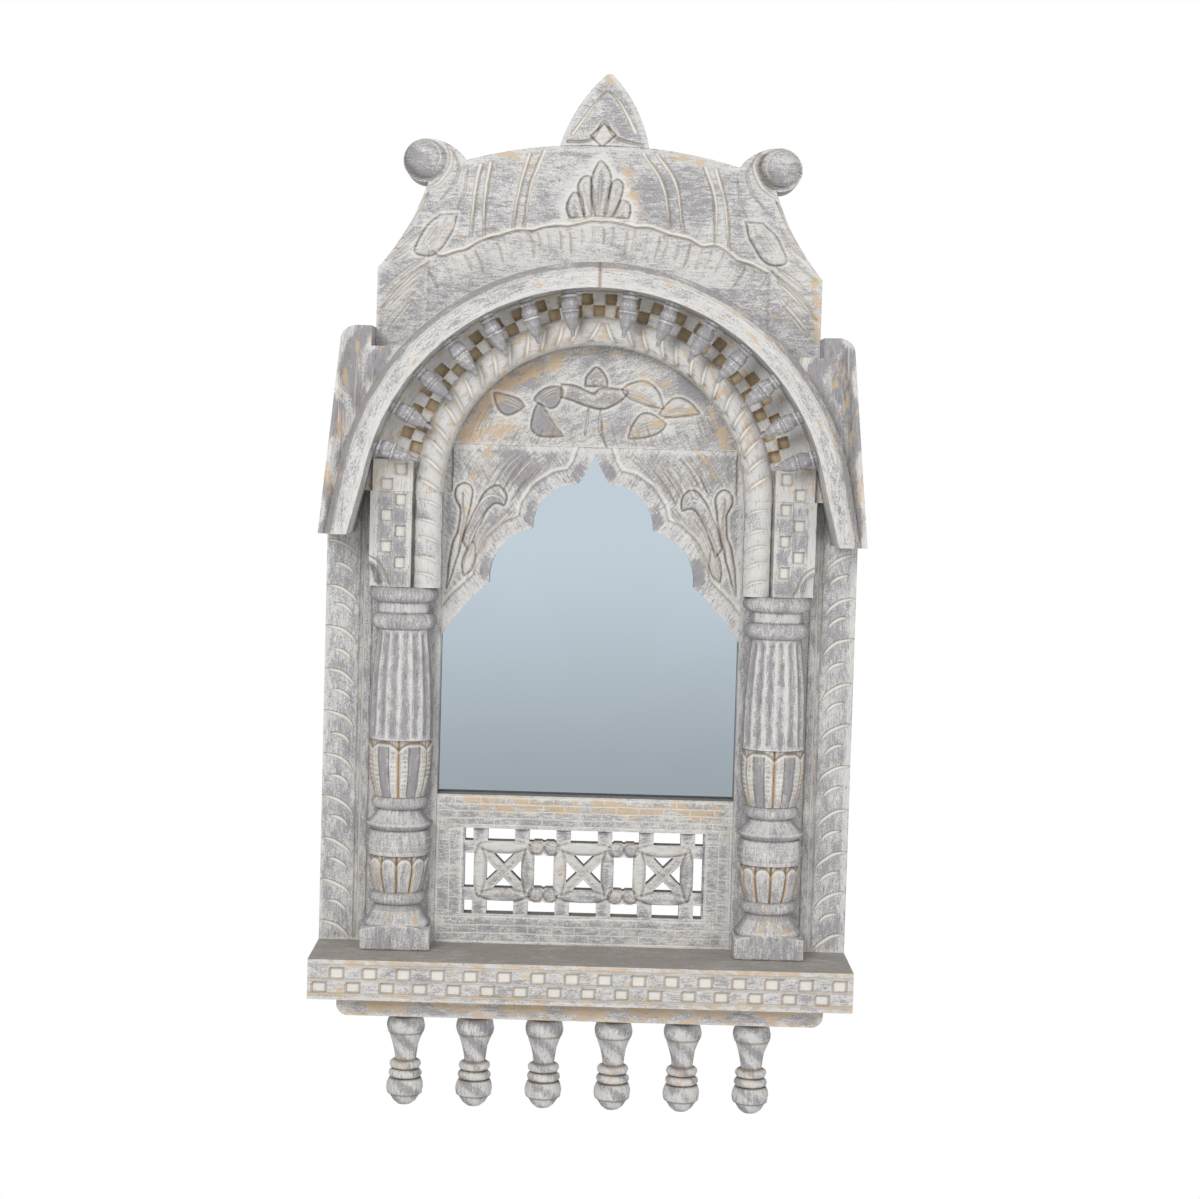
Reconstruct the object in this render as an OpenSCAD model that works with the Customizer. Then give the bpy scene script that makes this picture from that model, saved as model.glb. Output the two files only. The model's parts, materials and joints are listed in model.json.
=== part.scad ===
// Wall mirror in the shape of a jharokha, a carved balcony window.
// X is across, Y runs from the room (-) to the wall (0), Z is up.
// Heights inside the modules are counted from the shelf's top face.
// The origin is midway between the two keyhole hangers, on the wall plane.

/* [Frame] */
// Width between the stiles
opening_w = 266; // [240:1:300]
// Width of a stile
stile_w = 103; // [99:1:125]
// Height of the stiles above the shelf
frame_h = 545; // [500:1:600]
// Thickness of the stiles
frame_t = 32; // [29:1:40]
// Width of the rebate behind the stiles
rebate_w = 12; // [8:1:16]
// Height of the sill rail
sill_h = 20; // [14:1:30]
// Height of the top rail
top_rail_h = 88; // [70:1:100]
// Length of the rails' tenons
tenon_l = 22; // [12:1:25]
// Thickness of the rails' tenons
tenon_t = 8; // [5:1:10]
// How far the top rail stands above its tenons
tenon_drop = 15; // [8:1:20]
// Radius of the dowels
dowel_r = 5; // [3:0.5:6]
// Length of the dowels
dowel_l = 48; // [30:1:50]

/* [Mirror] */
// Thickness of the glass
glass_t = 4; // [3:0.5:5]
// Thickness of the backing board
backing_t = 6; // [4:0.5:7]
// Room behind the backing for the turn buttons
backing_room = 6; // [5.5:0.5:8]
// How far the pierced panel laps over the mirror
mirror_lap = 6; // [4:1:12]
// Length of a turn button from its screw to its tip
button_l = 24; // [20:1:30]
// Width of a turn button
button_w = 12; // [8:1:16]
// Thickness of a turn button
button_t = 3; // [2:0.5:4]
// Radius of a turn button's screw
button_screw_r = 1.5; // [1:0.1:2.5]
// Length of a turn button's screw inside the stile
button_screw_l = 13; // [8:1:16]
// Distance from the glass's lower edge to the lower turn buttons
button_low = 72; // [40:1:110]
// Distance from the glass's upper edge to the upper turn buttons
button_high = 76; // [40:1:120]

/* [Cusped panels] */
// How far the seam under the upper panel lies below the top rail
seam_drop = 10; // [4:1:20]
// How far the arch's point lies below the seam
apex_drop = 4; // [3:1:30]
// Height of the cusped arch
arch_rise = 167; // [140:1:200]
// Depth of the arch's lobes
lobe_d = 12; // [8:0.5:14]

/* [Columns] */
// Radius of the widest ring
column_r = 31; // [24:1:34]
// How far the plinths stand outside the opening
column_in = 1; // [0:0.5:4]
// Height of the plinth block
plinth_h = 23; // [12:1:34]
// How far the column's axis stands in front of the stiles
column_out = 16; // [12:1:20]
// Radius of the spigots at both ends
spigot_r = 8; // [4:0.5:11]
// Length of the spigots
spigot_l = 12; // [6:1:20]
// Height of the pilaster blocks
pilaster_h = 84; // [60:1:110]
// Thickness of the pilaster blocks
pilaster_t = 32; // [26:1:36]
// Radius of the scoop at a pilaster's lower corner
corner_r = 19; // [14:1:22]

/* [Arch] */
// How far the inner arch's centre lies below the top of the frame
ring_drop = 141; // [130:1:155]
// Thickness of the ring
ring_t = 24; // [16:1:30]
// Radius of the rope moulding
rope_r = 12; // [8:1:13]
// Side of a checker recess
checker = 9.5; // [6:0.5:11]
// Depth of a checker recess
checker_d = 4; // [2:0.5:8]
// Height of the ring's thick feet, which carry the pilasters' checker field on
ring_foot_h = 28; // [20:1:34]

/* [Canopy] */
// How far the canopy's centre lies below the top of the frame
hood_drop = 163; // [155:1:175]
// How far the canopy's inner face lies outside the pilasters
hood_gap = 6; // [4:1:12]
// Thickness of the canopy
hood_t = 22; // [18:1:26]
// How far the canopy stands out from the frame
hood_out = 83; // [60:1:92]
// How far the canopy's feet lie below its centre
foot_drop = 15; // [6:1:30]
// How far the feet's inner edge splays beyond the canopy's radius
splay_in = 10; // [6:1:14]
// How far the feet's outer edge splays beyond the canopy's radius
splay_out = 7; // [4:1:10]
// Length of a turned drop
drop_l = 40; // [30:1:48]
// Largest radius of a turned drop
drop_r = 8; // [5:0.5:9.5]
// Angle between two drops
drop_step = 10.7; // [9.5:0.1:10.8]

/* [Shoulders] */
// Width of a shoulder's lower end
shoulder_w = 6; // [4:1:10]
// How far a shoulder leans in towards its top
shoulder_lean = 16; // [8:1:22]
// Width of a shoulder's top beside the crown
shoulder_top_w = 26; // [22:1:40]
// How far the shoulders stand out from the frame
shoulder_out = 76; // [60:1:80]
// Radius of a shoulder's upper corner
shoulder_corner = 14; // [4:1:16]
// Width of the thin outer lip
shoulder_lip = 4; // [2:0.5:6]
// Depth of the scoop in a shoulder's face
scoop_d = 12; // [6:1:24]
// Radius of the scoop in a shoulder's face
scoop_r = 34; // [26:1:50]

/* [Crown] */
// Height of the crown's lower corners above the frame
crown_corner_h = 54; // [45:1:65]
// Height of the dome above the frame
dome_h = 167; // [155:1:195]
// How far the crown's relief laps over the frame
crown_lap = 15; // [8:1:20]
// How far the dome's relief stands out from the frame
crown_out = 24; // [12:1:40]
// How far the dome rolls back towards its top
roll_d = 18; // [8:1:20]
// Height of the scroll balls above the frame
ball_h = 150; // [140:1:155]
// Distance from the crown's side to a scroll ball's centre
ball_inset = 39; // [34:1:48]
// How far the scroll balls' centres stand out from the frame
ball_out = 6; // [2:1:10]
// Radius of the scroll balls
ball_r = 19.5; // [15:0.5:22]
// Distance from the crown's side to the hook between ball and dome
hook_inset = 75; // [68:1:85]
// How far the hook lies below the dome's top
hook_drop = 16; // [8:1:24]
// Half width of the finial
finial_x = 39; // [28:1:50]
// Height of the finial
finial_h = 63; // [45:1:90]
// Thickness of the finial
finial_t = 34; // [20:1:40]

/* [Shelf] */
// Depth of the shelf
shelf_d = 125; // [117:1:140]
// Thickness of the shelf
shelf_t = 35; // [28:1:45]
// Width of a recess in the shelf's front edge
edge_w = 12; // [6:0.5:14]
// Height of a recess in the shelf's front edge
edge_h = 8.7; // [5:0.1:9]
// Distance between two recesses in a row
edge_pitch = 29; // [27:0.5:40]
// Depth of the recesses
edge_cut = 2.5; // [1:0.5:5]
// How far the step board stops short of each end
step_inset = 24; // [10:1:40]
// Thickness of the step board
step_t = 17; // [10:1:24]
// Depth of the step board
step_d = 108; // [100:1:116]
// Distance between two pendants
pendant_pitch = 61; // [50:1:66]
// Length of a pendant
pendant_l = 83; // [60:1:110]
// Largest radius of a pendant
pendant_r = 17.5; // [12:0.5:22]
// How far the pendants' axis lies from the wall
pendant_y = 80; // [60:1:84]
// Radius of the pendants' spigots
pendant_pin_r = 6; // [4:0.5:8]
// Radius of the screws between the shelf and the stiles
screw_r = 2.5; // [2:0.1:3]
// How far these screws reach into the stiles
screw_bite = 39; // [20:1:60]
// Distances of these screws from a stile's inner edge
screw_near = 22; // [14:1:30]
screw_far = 63; // [50:1:70]

/* [Pierced panel] */
// Height of the pierced panel
jali_h = 134; // [130:1:138]
// Height of its lower border
jali_low = 27; // [22:1:36]
// Height of its upper border
jali_top = 30; // [24:1:34]
// Width of its side borders
jali_side = 26; // [20:1:30]
// Side of a crossed square
cross_w = 54; // [48:1:58]
// Distance between two crossed squares
cross_pitch = 71.5; // [66:0.5:76]
// Width of the crossed square's upright bars
cross_bar = 11.5; // [8:0.5:13]
// Width of the posts above and below the squares
cross_post = 13; // [8:0.5:16]

/* [Wall hangers] */
// How far the hangers' round holes lie below the top of the frame
hanger_drop = 55; // [50:1:90]
// Distance from a stile's inner edge to its hanger
hanger_in = 57; // [30:1:70]
// Width of a hanger plate
hanger_w = 20; // [16:1:26]
// Height of a hanger plate
hanger_h = 44; // [40:1:56]
// Thickness of the hanger plate
hanger_t = 2; // [1.5:0.5:3]
// Radius of the round hole
hanger_hole_r = 4.5; // [3.5:0.1:6]
// Width of the hanger's slot
hanger_slot_w = 5; // [3:0.5:6]
// Length of the hanger's slot above the hole's centre
hanger_slot_h = 10; // [8:1:12]
// Radius of the hanger's screws
hanger_screw_r = 1.6; // [1.2:0.1:2]
// Length of the hanger's screws inside the stile
hanger_screw_l = 11; // [8:1:20]
// Distance from the hole's centre to each screw
hanger_screw_z = 17; // [15:0.5:20]

/* [Hidden] */
$fn = 64;
fit = 0.05;        // radial clearance of pins and screws
gap = 0.3;         // clearance between neighbours that don't touch
tip = 1;           // spare depth of blind holes, and how far cuts run past a face

half_open = opening_w / 2;
frame_w = opening_w + 2 * stile_w;
backing_y = -backing_room;                   // rear face of the backing
glass_y = backing_y - backing_t - glass_t;   // front face of the glass
panel_t = frame_t + glass_y;                 // thickness of the carved panels
rail_t = -glass_y;

top_rail_z = frame_h - top_rail_h;
sill_z = jali_h - mirror_lap;
glass_top = top_rail_z - tip;
glass_h = glass_top - sill_z;
seam_z = top_rail_z - seam_drop;
apex_z = seam_z - apex_drop;
spring_z = apex_z - arch_rise;
button_x = half_open + rebate_w + button_w;
button_low_z = sill_z + button_low;
button_high_z = glass_top - button_high;

ring_z = frame_h - ring_drop;                // also where the ring stands on the pilasters
column_top = ring_z - pilaster_h;
column_h = column_top;
plinth_w = 2 * column_r;
column_x = half_open + column_in + column_r;
column_y = -frame_t - column_out;
ring_r = half_open;
rope_x = ring_r + rope_r;
field_x = rope_x + rope_r + 2;               // where the checker field begins
checker_pitch = 2.88 * checker;              // height between two recesses of a column

hood_z = frame_h - hood_drop;
hood_r = column_x + column_r + hood_gap;
ring_out = hood_r - gap;
spring_angle = 80;                           // where the canopy's legs begin
foot_z = hood_z - foot_drop;
foot_in = hood_r + splay_in;
foot_out = hood_r + hood_t + splay_out;
drop_y = -frame_t - 0.7 * hood_out;
drop_pin_r = 0.43 * drop_r;
shoulder_foot_x = foot_out + shoulder_w;
shoulder_top_x = shoulder_foot_x - shoulder_lean;

crown_x = shoulder_top_x - shoulder_top_w;
crown_z = frame_h;
crown_low_z = frame_h - crown_lap;
crown_corner_z = frame_h + crown_corner_h;
dome_z = frame_h + dome_h;
ball_z = frame_h + ball_h;
ball_x = crown_x - ball_inset;
hook_x = crown_x - hook_inset;
finial_y = 0.7 * frame_t;                    // depth of the finial's middle

screw_places = [screw_near, screw_far];
hanger_z = frame_h - hanger_drop;
hanger_x = half_open + hanger_in;
pendant_count = 6;
drop_count = 7;
wood = "#c9c6c2";
grey = "#8f8d92";
dark = "#9a9690";

// Points of an arc from a to b that bulges by s to the left of the way, without a itself
function arc_to(a, b, s, n = 8) =
    let (d = b - a,
         chord = norm(d),
         r = (chord * chord / 4 + s * s) / (2 * abs(s)),
         side = [-d[1], d[0]] / chord * sign(s),
         c = (a + b) / 2 - side * (r - abs(s)),
         from = atan2(a[1] - c[1], a[0] - c[0]),
         turn = -sign(s) * 2 * asin(chord / 2 / r))
    [for (i = [1:n]) c + r * [cos(from + turn * i / n), sin(from + turn * i / n)]];

// Turned profiles, as [radius, height] points
function bead(z, h, r, n = 6) =
    [for (i = [0:n]) [r - h / 2 + h / 2 * sin(180 * i / n), z + h / 2 - h / 2 * cos(180 * i / n)]];
function swell(z, h, r0, r1, bulge, n = 8) =
    [for (i = [0:n]) [r0 + (r1 - r0) * i / n + bulge * sin(180 * i / n), z + h * i / n]];

module sided(s) {
    if (s > 0) children();
    else mirror([1, 0, 0]) children();
}

// A board cut to an outline in X and Z, between two depths
module slab(front, back) {
    translate([0, back, 0]) rotate([90, 0, 0]) linear_extrude(back - front) children();
}

// The region under an arch with its centre at hood_z and straight legs to the feet
module arch_area(r, foot_x) {
    z_s = hood_z + r * cos(spring_angle);
    x_s = r * sin(spring_angle);
    intersection() {
        translate([0, hood_z]) circle(r, $fn = 128);
        translate([-r, z_s]) square([2 * r, 2 * r]);
    }
    polygon([[-foot_x, foot_z], [foot_x, foot_z], [x_s, z_s], [-x_s, z_s]]);
}

// The mirror's cusped opening: a point, an ogee and three lobes on each side
module cusped_opening() {
    cusp_1 = [0.11 * half_open, apex_z - 0.175 * arch_rise];
    cusp_2 = [0.405 * half_open, apex_z - 0.415 * arch_rise];
    cusp_3 = [0.687 * half_open, apex_z - 0.71 * arch_rise];
    foot = [half_open, spring_z];
    side = concat([[0, apex_z]],
        arc_to([0, apex_z], cusp_1, -lobe_d / 8, 6),
        arc_to(cusp_1, cusp_2, lobe_d),
        arc_to(cusp_2, cusp_3, lobe_d),
        arc_to(cusp_3, foot, 0.2 * lobe_d));
    polygon(concat([[0, spring_z - tip]], side, [[half_open, spring_z - tip]]));
}

module stile() {
    mortise_y = glass_y / 2 - tenon_t / 2;
    difference() {
        slab(-frame_t, 0) polygon([
            [half_open, 0], [half_open + stile_w, 0], [half_open + stile_w, foot_z],
            [shoulder_top_x - 2, frame_h], [half_open, frame_h]]);
        // Rebate for the glass and its backing
        translate([half_open - tip, glass_y, sill_z])
            cube([rebate_w + tip, rail_t + tip, top_rail_z - sill_z]);
        // Mortises for the rails
        translate([half_open - tip, mortise_y, sill_z - sill_h])
            cube([tenon_l + tip, tenon_t, sill_h]);
        translate([half_open - tip, mortise_y, top_rail_z])
            cube([tenon_l + tip, tenon_t, top_rail_h - tenon_drop]);
        // A shallow bed and a screw hole for each turn button
        for (z = [button_low_z, button_high_z]) {
            translate([half_open + rebate_w - tip, backing_y, z - button_w])
                cube([2 * button_w + 3 * tip, backing_room + tip, 2 * button_w + button_l]);
            translate([button_x, backing_y - button_screw_l - tip, z])
                rotate([-90, 0, 0]) cylinder(r = button_screw_r + fit, h = button_screw_l + 2 * tip);
        }
        // Bed, nail pocket and screw holes of the hanger plate
        translate([hanger_x - hanger_w / 2 - fit, -hanger_t, hanger_z - hanger_h / 2 - fit])
            cube([hanger_w + 2 * fit, hanger_t + tip, hanger_h + 2 * fit]);
        translate([hanger_x - 1.4 * hanger_hole_r, -5 * hanger_t, hanger_z - 1.4 * hanger_hole_r])
            cube([2.8 * hanger_hole_r, 5 * hanger_t + tip, 2 * hanger_slot_h]);
        for (dz = [-1, 1])
            translate([hanger_x, -hanger_t - hanger_screw_l - tip, hanger_z + dz * hanger_screw_z])
                rotate([-90, 0, 0]) cylinder(r = hanger_screw_r + fit, h = hanger_screw_l + 2 * tip);
        // Dowel hole in the top end
        translate([column_x, -frame_t / 2, frame_h - dowel_l / 2 - tip])
            cylinder(r = dowel_r + fit, h = dowel_l / 2 + 2 * tip);
        // Screw holes in the bottom end
        for (dx = screw_places) translate([half_open + dx, -frame_t / 2, -tip])
            cylinder(r = screw_r + fit, h = screw_bite + 2 * tip);
    }
}

// A rail behind the panels, with a tenon at each end
module rail(z, h, tenon_h) {
    reach = half_open + tenon_l - gap;
    translate([-half_open, glass_y, z]) cube([opening_w, rail_t, h]);
    translate([-reach, glass_y / 2 - tenon_t / 2, z]) cube([2 * reach, tenon_t, tenon_h]);
}

module top_rail() {
    color(wood) rail(top_rail_z, top_rail_h, top_rail_h - tenon_drop);
}

module sill_rail() {
    color(wood) rail(sill_z - sill_h, sill_h, sill_h);
}

// One pierced square with a diagonal cross
module crossed_square() {
    difference() {
        square(cross_w, center = true);
        difference() {
            square([cross_w - 2 * cross_bar, cross_w - 1.6 * cross_bar], center = true);
            for (a = [45, -45]) rotate(a) square([2 * cross_w, cross_bar * 0.75], center = true);
        }
    }
}

// A bar between two squares, nicked to a point above and below
module nicked_bar(w, h, nick) {
    polygon([[-w / 2, -h / 2], [-nick, -h / 2], [0, -h / 2 + nick], [nick, -h / 2],
             [w / 2, -h / 2], [w / 2, h / 2], [nick, h / 2], [0, h / 2 - nick],
             [-nick, h / 2], [-w / 2, h / 2]]);
}

module jali_panel() {
    w = opening_w - gap;
    field_w = w - 2 * jali_side;
    field_h = jali_h - jali_low - jali_top;
    mid_z = jali_low + field_h / 2;
    color(wood) slab(-frame_t, glass_y) difference() {
        translate([-w / 2, 0]) square([w, jali_h]);
        translate([0, mid_z]) difference() {
            square([field_w, field_h], center = true);
            for (i = [-1:1]) translate([i * cross_pitch, 0]) crossed_square();
            for (t = [-1, 1]) translate([0, t * (cross_w - cross_bar) / 2]) {
                // Bars between the squares and stubs to the side borders
                for (s = [-1, 1]) translate([s * cross_pitch / 2, 0])
                    nicked_bar(cross_pitch - cross_w + 1, cross_bar + 2, 2);
                square([field_w + 1, cross_bar], center = true);
            }
            // Posts to the upper and lower borders
            for (i = [-2.5:1:2.5]) for (t = [-1, 1])
                translate([i * 0.52 * cross_pitch, t * (field_h + cross_w - cross_bar) / 4])
                    square([cross_post, (field_h - cross_w + cross_bar) / 2 + 1], center = true);
        }
    }
}

module spandrel() {
    color(wood) slab(-frame_t, glass_y) difference() {
        translate([0, spring_z]) square([half_open, seam_z - spring_z]);
        cusped_opening();
    }
}

module tympanum() {
    color(wood) translate([-half_open, -frame_t, seam_z])
        cube([opening_w, panel_t, frame_h - seam_z]);
}

module mirror_glass() {
    w = opening_w + 2 * rebate_w - 2 * tip;
    color("#b4c6cf") translate([-w / 2, glass_y, sill_z]) cube([w, glass_t, glass_h]);
}

module mirror_backing() {
    w = opening_w + 2 * rebate_w - 2 * tip;
    color("#8a6f4c") translate([-w / 2, glass_y + glass_t, sill_z]) cube([w, backing_t, glass_h]);
}

// A rounded brass bar that turns on its screw and holds the backing
module turn_button(s, z) {
    end_x = button_x - button_l + button_w / 2;
    color("#b08d3c") sided(s) difference() {
        slab(backing_y + gap / 2, backing_y + gap / 2 + button_t) {
            translate([button_x, z]) circle(button_w / 2);
            translate([end_x, z]) circle(button_w / 2);
            translate([end_x, z - button_w / 2]) square([button_x - end_x, button_w]);
        }
        translate([button_x, backing_y - tip, z])
            rotate([-90, 0, 0]) cylinder(r = button_screw_r + fit, h = button_t + 3 * tip);
    }
}

module button_screws() {
    head_y = backing_y + button_t + gap;
    head_t = 0.93 * button_screw_r;
    color("#b08d3c") for (s = [-1, 1]) for (z = [button_low_z, button_high_z]) {
        translate([s * button_x, backing_y - button_screw_l, z]) rotate([-90, 0, 0])
            cylinder(r = button_screw_r, h = head_y - backing_y + button_screw_l + head_t / 2);
        translate([s * button_x, head_y, z])
            rotate([-90, 0, 0]) cylinder(r = 2 * button_screw_r, h = head_t);
    }
}

// Profile of the column above its plinth block, with heights as shares of the turning
function column_profile() = let (r = column_r, p = plinth_h, h = column_h - plinth_h) concat(
    [[0, p], [0.97 * r, p], [0.66 * r, p + 0.047 * h]],
    bead(p + 0.054 * h, 0.034 * h, 0.84 * r),
    swell(p + 0.088 * h, 0.111 * h, 0.68 * r, 0.88 * r, 0.05 * r),
    swell(p + 0.199 * h, 0.074 * h, 0.88 * r, 0.88 * r, 0.065 * r),
    bead(p + 0.273 * h, 0.017 * h, 0.97 * r, 4),
    [[0.62 * r, p + 0.316 * h], [0.62 * r, p + 0.34 * h]],
    bead(p + 0.34 * h, 0.034 * h, 0.83 * r),
    swell(p + 0.374 * h, 0.168 * h, 0.72 * r, 0.92 * r, 0.08 * r),
    swell(p + 0.542 * h, 0.333 * h, 0.92 * r, 0.74 * r, 0.06 * r),
    bead(p + 0.875 * h, 0.047 * h, 0.96 * r),
    [[0.76 * r, p + 0.926 * h], [0.76 * r, p + 0.953 * h]],
    bead(p + 0.956 * h, 0.044 * h, r),
    [[0, p + h]]);

module column() {
    intersection() {
        translate([0, column_y, 0]) {
            rotate_extrude() polygon(column_profile());
            translate([-column_r, -column_r, 0])
                cube([plinth_w, column_r + column_out, plinth_h]);
        }
        // The back of the turning is cut flat, and lies against the stile
        translate([-column_r - tip, column_y - column_r - tip, -tip])
            cube([plinth_w + 2 * tip, column_r + column_out + tip, column_h + 2 * tip]);
    }
    translate([0, column_y, -spigot_l]) cylinder(r = spigot_r, h = spigot_l + tip);
    translate([0, column_y, column_h - tip]) cylinder(r = spigot_r, h = spigot_l + tip);
}

// Two staggered columns of checker recesses, up the right pilaster and the ring's foot above it
module checker_columns() {
    for (c = [0, 1]) for (i = [0:3 - c])
        translate([field_x + (0.55 + 1.3 * c) * checker, -frame_t - pilaster_t - tip,
                   column_top + 1.83 * checker + (i + c / 2) * checker_pitch])
            cube([checker, checker_d + tip, checker]);
}

// A block with a checker field, and the lower end of the arch's rope beside it
module pilaster() {
    rope_at = rope_x - column_x;
    difference() {
        union() {
            difference() {
                translate([-column_r, -frame_t - pilaster_t, column_top])
                    cube([plinth_w, pilaster_t, pilaster_h]);
                // The block stands back beside the rope
                translate([-column_r - tip, -frame_t - pilaster_t - tip, column_top - tip])
                    cube([field_x - column_x + column_r + tip, pilaster_t - ring_t + tip,
                          pilaster_h + 2 * tip]);
                translate([-column_x, 0, 0]) checker_columns();
                // Scooped lower outer corner
                translate([column_r + 0.3 * corner_r, -frame_t - pilaster_t - 0.3 * corner_r,
                           column_top + 0.3 * corner_r]) sphere(corner_r);
            }
            translate([rope_at, -frame_t - ring_t, column_top])
                cylinder(r = rope_r, h = pilaster_h);
        }
        translate([0, column_y, column_top - tip])
            cylinder(r = spigot_r + fit, h = spigot_l + 2 * tip);
    }
}

module arch_ring() {
    row_r = ring_r + 2 * rope_r + 1;
    // The outer row keeps a rim inside the canopy
    outer_r = min(row_r + checker + 1, hood_z + ring_out - ring_z - checker - 1.7);
    step = 2 * (checker + 0.6) / (row_r + checker) * 180 / PI;
    last = acos((ring_foot_h + checker / 2 + tip) / (row_r + checker / 2));
    foot_top = ring_z + ring_foot_h - hood_z;
    foot_x = min(column_x + column_r, sqrt(ring_out * ring_out - foot_top * foot_top)) - tip;
    front_y = -frame_t - ring_t;
    color(wood) difference() {
        union() {
            slab(front_y, -frame_t) difference() {
                intersection() {
                    arch_area(ring_out, foot_in - gap);
                    translate([-hood_r, ring_z]) square([2 * hood_r, 2 * hood_r]);
                }
                translate([0, ring_z]) circle(ring_r, $fn = 128);
            }
            // Feet as thick as the pilasters
            for (s = [-1, 1]) sided(s) translate([field_x, -frame_t - pilaster_t, ring_z])
                cube([foot_x - field_x, pilaster_t - ring_t + tip, ring_foot_h]);
            intersection() {
                translate([0, front_y, ring_z]) rotate([90, 0, 0])
                    rotate_extrude($fn = 128) translate([rope_x, 0]) circle(rope_r);
                translate([-hood_r, front_y - 2 * rope_r, ring_z])
                    cube([2 * hood_r, ring_t + 2 * rope_r, hood_r]);
            }
        }
        // Two staggered rows of checker recesses above the rope
        for (row = [0, 1]) for (i = [-12:12])
            if (abs((i + row / 2) * step) < last)
                translate([0, front_y, ring_z]) rotate([0, (i + row / 2) * step, 0])
                    translate([-checker / 2, -tip, row == 0 ? row_r : outer_r])
                        cube([checker, tip + 2 * checker_d, checker]);
        for (s = [-1, 1]) sided(s) checker_columns();
    }
}

module hood_half() {
    difference() {
        slab(-frame_t - hood_out, -frame_t) difference() {
            intersection() {
                arch_area(hood_r + hood_t, foot_out);
                translate([0, foot_z]) square([2 * hood_r, 2 * hood_r]);
            }
            translate([0, -0.01]) arch_area(hood_r, foot_in);
        }
        for (i = [1:drop_count]) drop_place(i)
            translate([0, 0, -tip]) cylinder(r = drop_pin_r + fit, h = hood_t / 2 + 2 * tip);
    }
}

// Each drop points at the canopy's centre, with its outer end at the canopy's inner face
module drop_place(i) {
    translate([0, drop_y, hood_z]) rotate([0, (i - 0.28) * drop_step, 0])
        translate([0, 0, hood_r - gap]) children();
}

function drop_profile() = let (r = drop_r, l = drop_l) concat(
    [[0, -l], [0.12 * r, -l], [0.3 * r, -0.85 * l]],
    swell(-0.75 * l, 0.37 * l, 0.45 * r, 0.8 * r, 0.12 * r),
    bead(-0.38 * l, 0.08 * l, r, 4),
    swell(-0.3 * l, 0.16 * l, 0.8 * r, 0.62 * r, 0.16 * r),
    bead(-0.14 * l, 0.07 * l, 0.86 * r, 4),
    [[0.75 * r, -0.07 * l], [0.75 * r, 0], [0, 0]]);

module drop() {
    rotate_extrude($fn = 32) polygon(drop_profile());
    translate([0, 0, -tip]) cylinder(r = drop_pin_r, h = hood_t / 2 + tip);
}

// A block outside the canopy, scooped between the canopy's band and a thin outer lip
module shoulder() {
    top_z = frame_h + 2;
    half_chord = sqrt(scoop_r * scoop_r - pow(scoop_r - scoop_d, 2));
    lean = atan(shoulder_lean / (top_z - foot_z));
    difference() {
        slab(-frame_t - shoulder_out, -frame_t) difference() {
            union() {
                polygon([[crown_x / 2, foot_z], [shoulder_foot_x, foot_z],
                         [shoulder_top_x, top_z - shoulder_corner],
                         [shoulder_top_x - shoulder_corner, top_z], [crown_x / 2, top_z]]);
                translate([shoulder_top_x - shoulder_corner, top_z - shoulder_corner])
                    circle(shoulder_corner);
            }
            arch_area(hood_r + hood_t + gap, foot_out + gap);
            translate([0, crown_low_z - gap]) square([crown_x + gap, frame_h]);
        }
        // The scooped face runs beside the lip
        translate([shoulder_foot_x - shoulder_lip - half_chord,
                   -frame_t - shoulder_out + scoop_d - scoop_r, foot_z])
            rotate([0, -lean, 0]) translate([0, 0, -foot_z / 2])
                cylinder(r = scoop_r, h = 2 * frame_h, $fn = 96);
    }
}

// Right half of the crown's outline, from the bottom centre to the dome's top
function crown_side() =
    let (corner = [crown_x, crown_corner_z],
         neck = [ball_x - 0.2 * ball_r, ball_z - 0.87 * ball_r],
         ball_top = [ball_x, ball_z + ball_r],
         hook = [hook_x, dome_z - hook_drop])
    concat([[0, crown_z], [crown_x, crown_z], corner],
        arc_to(corner, neck, 5),
        [[ball_x, ball_z], ball_top],
        arc_to(ball_top, hook, -5),
        arc_to(hook, [0, dome_z], -5));

module crown_outline() {
    for (s = [0, 1]) mirror([s, 0]) {
        polygon(crown_side());
        translate([ball_x, ball_z]) circle(ball_r);
    }
}

// The crown's front rolls back towards the dome's top
module crown_roll() {
    rise = dome_z - crown_corner_z;
    r = (rise * rise + roll_d * roll_d) / (2 * roll_d);
    translate([-2 * crown_x, -frame_t - crown_out + r, crown_corner_z]) rotate([0, 90, 0])
        cylinder(r = r, h = 4 * crown_x, $fn = 128);
    translate([-2 * crown_x, -frame_t - crown_out, 0])
        cube([4 * crown_x, crown_out + frame_t, crown_corner_z]);
}

module crown_panel() {
    front_y = -frame_t - crown_out;
    color(wood) difference() {
        union() {
            intersection() {
                slab(front_y, 0) crown_outline();
                crown_roll();
            }
            // The relief laps over the top of the frame
            slab(front_y, -frame_t) translate([-crown_x, crown_low_z])
                square([2 * crown_x, crown_lap + tip]);
            for (s = [-1, 1])
                translate([s * ball_x, -frame_t - ball_out, ball_z]) sphere(0.95 * ball_r);
        }
        // The relief leaves room for the canopy
        slab(front_y - tip, -frame_t) arch_area(hood_r + hood_t + gap, foot_out);
        for (s = [-1, 1]) translate([s * column_x, -frame_t / 2, crown_z - tip])
            cylinder(r = dowel_r + fit, h = dowel_l / 2 + 2 * tip);
        translate([0, -finial_y, dome_z - dowel_l / 2 - tip])
            cylinder(r = dowel_r + fit, h = dowel_l);
    }
}

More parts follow.
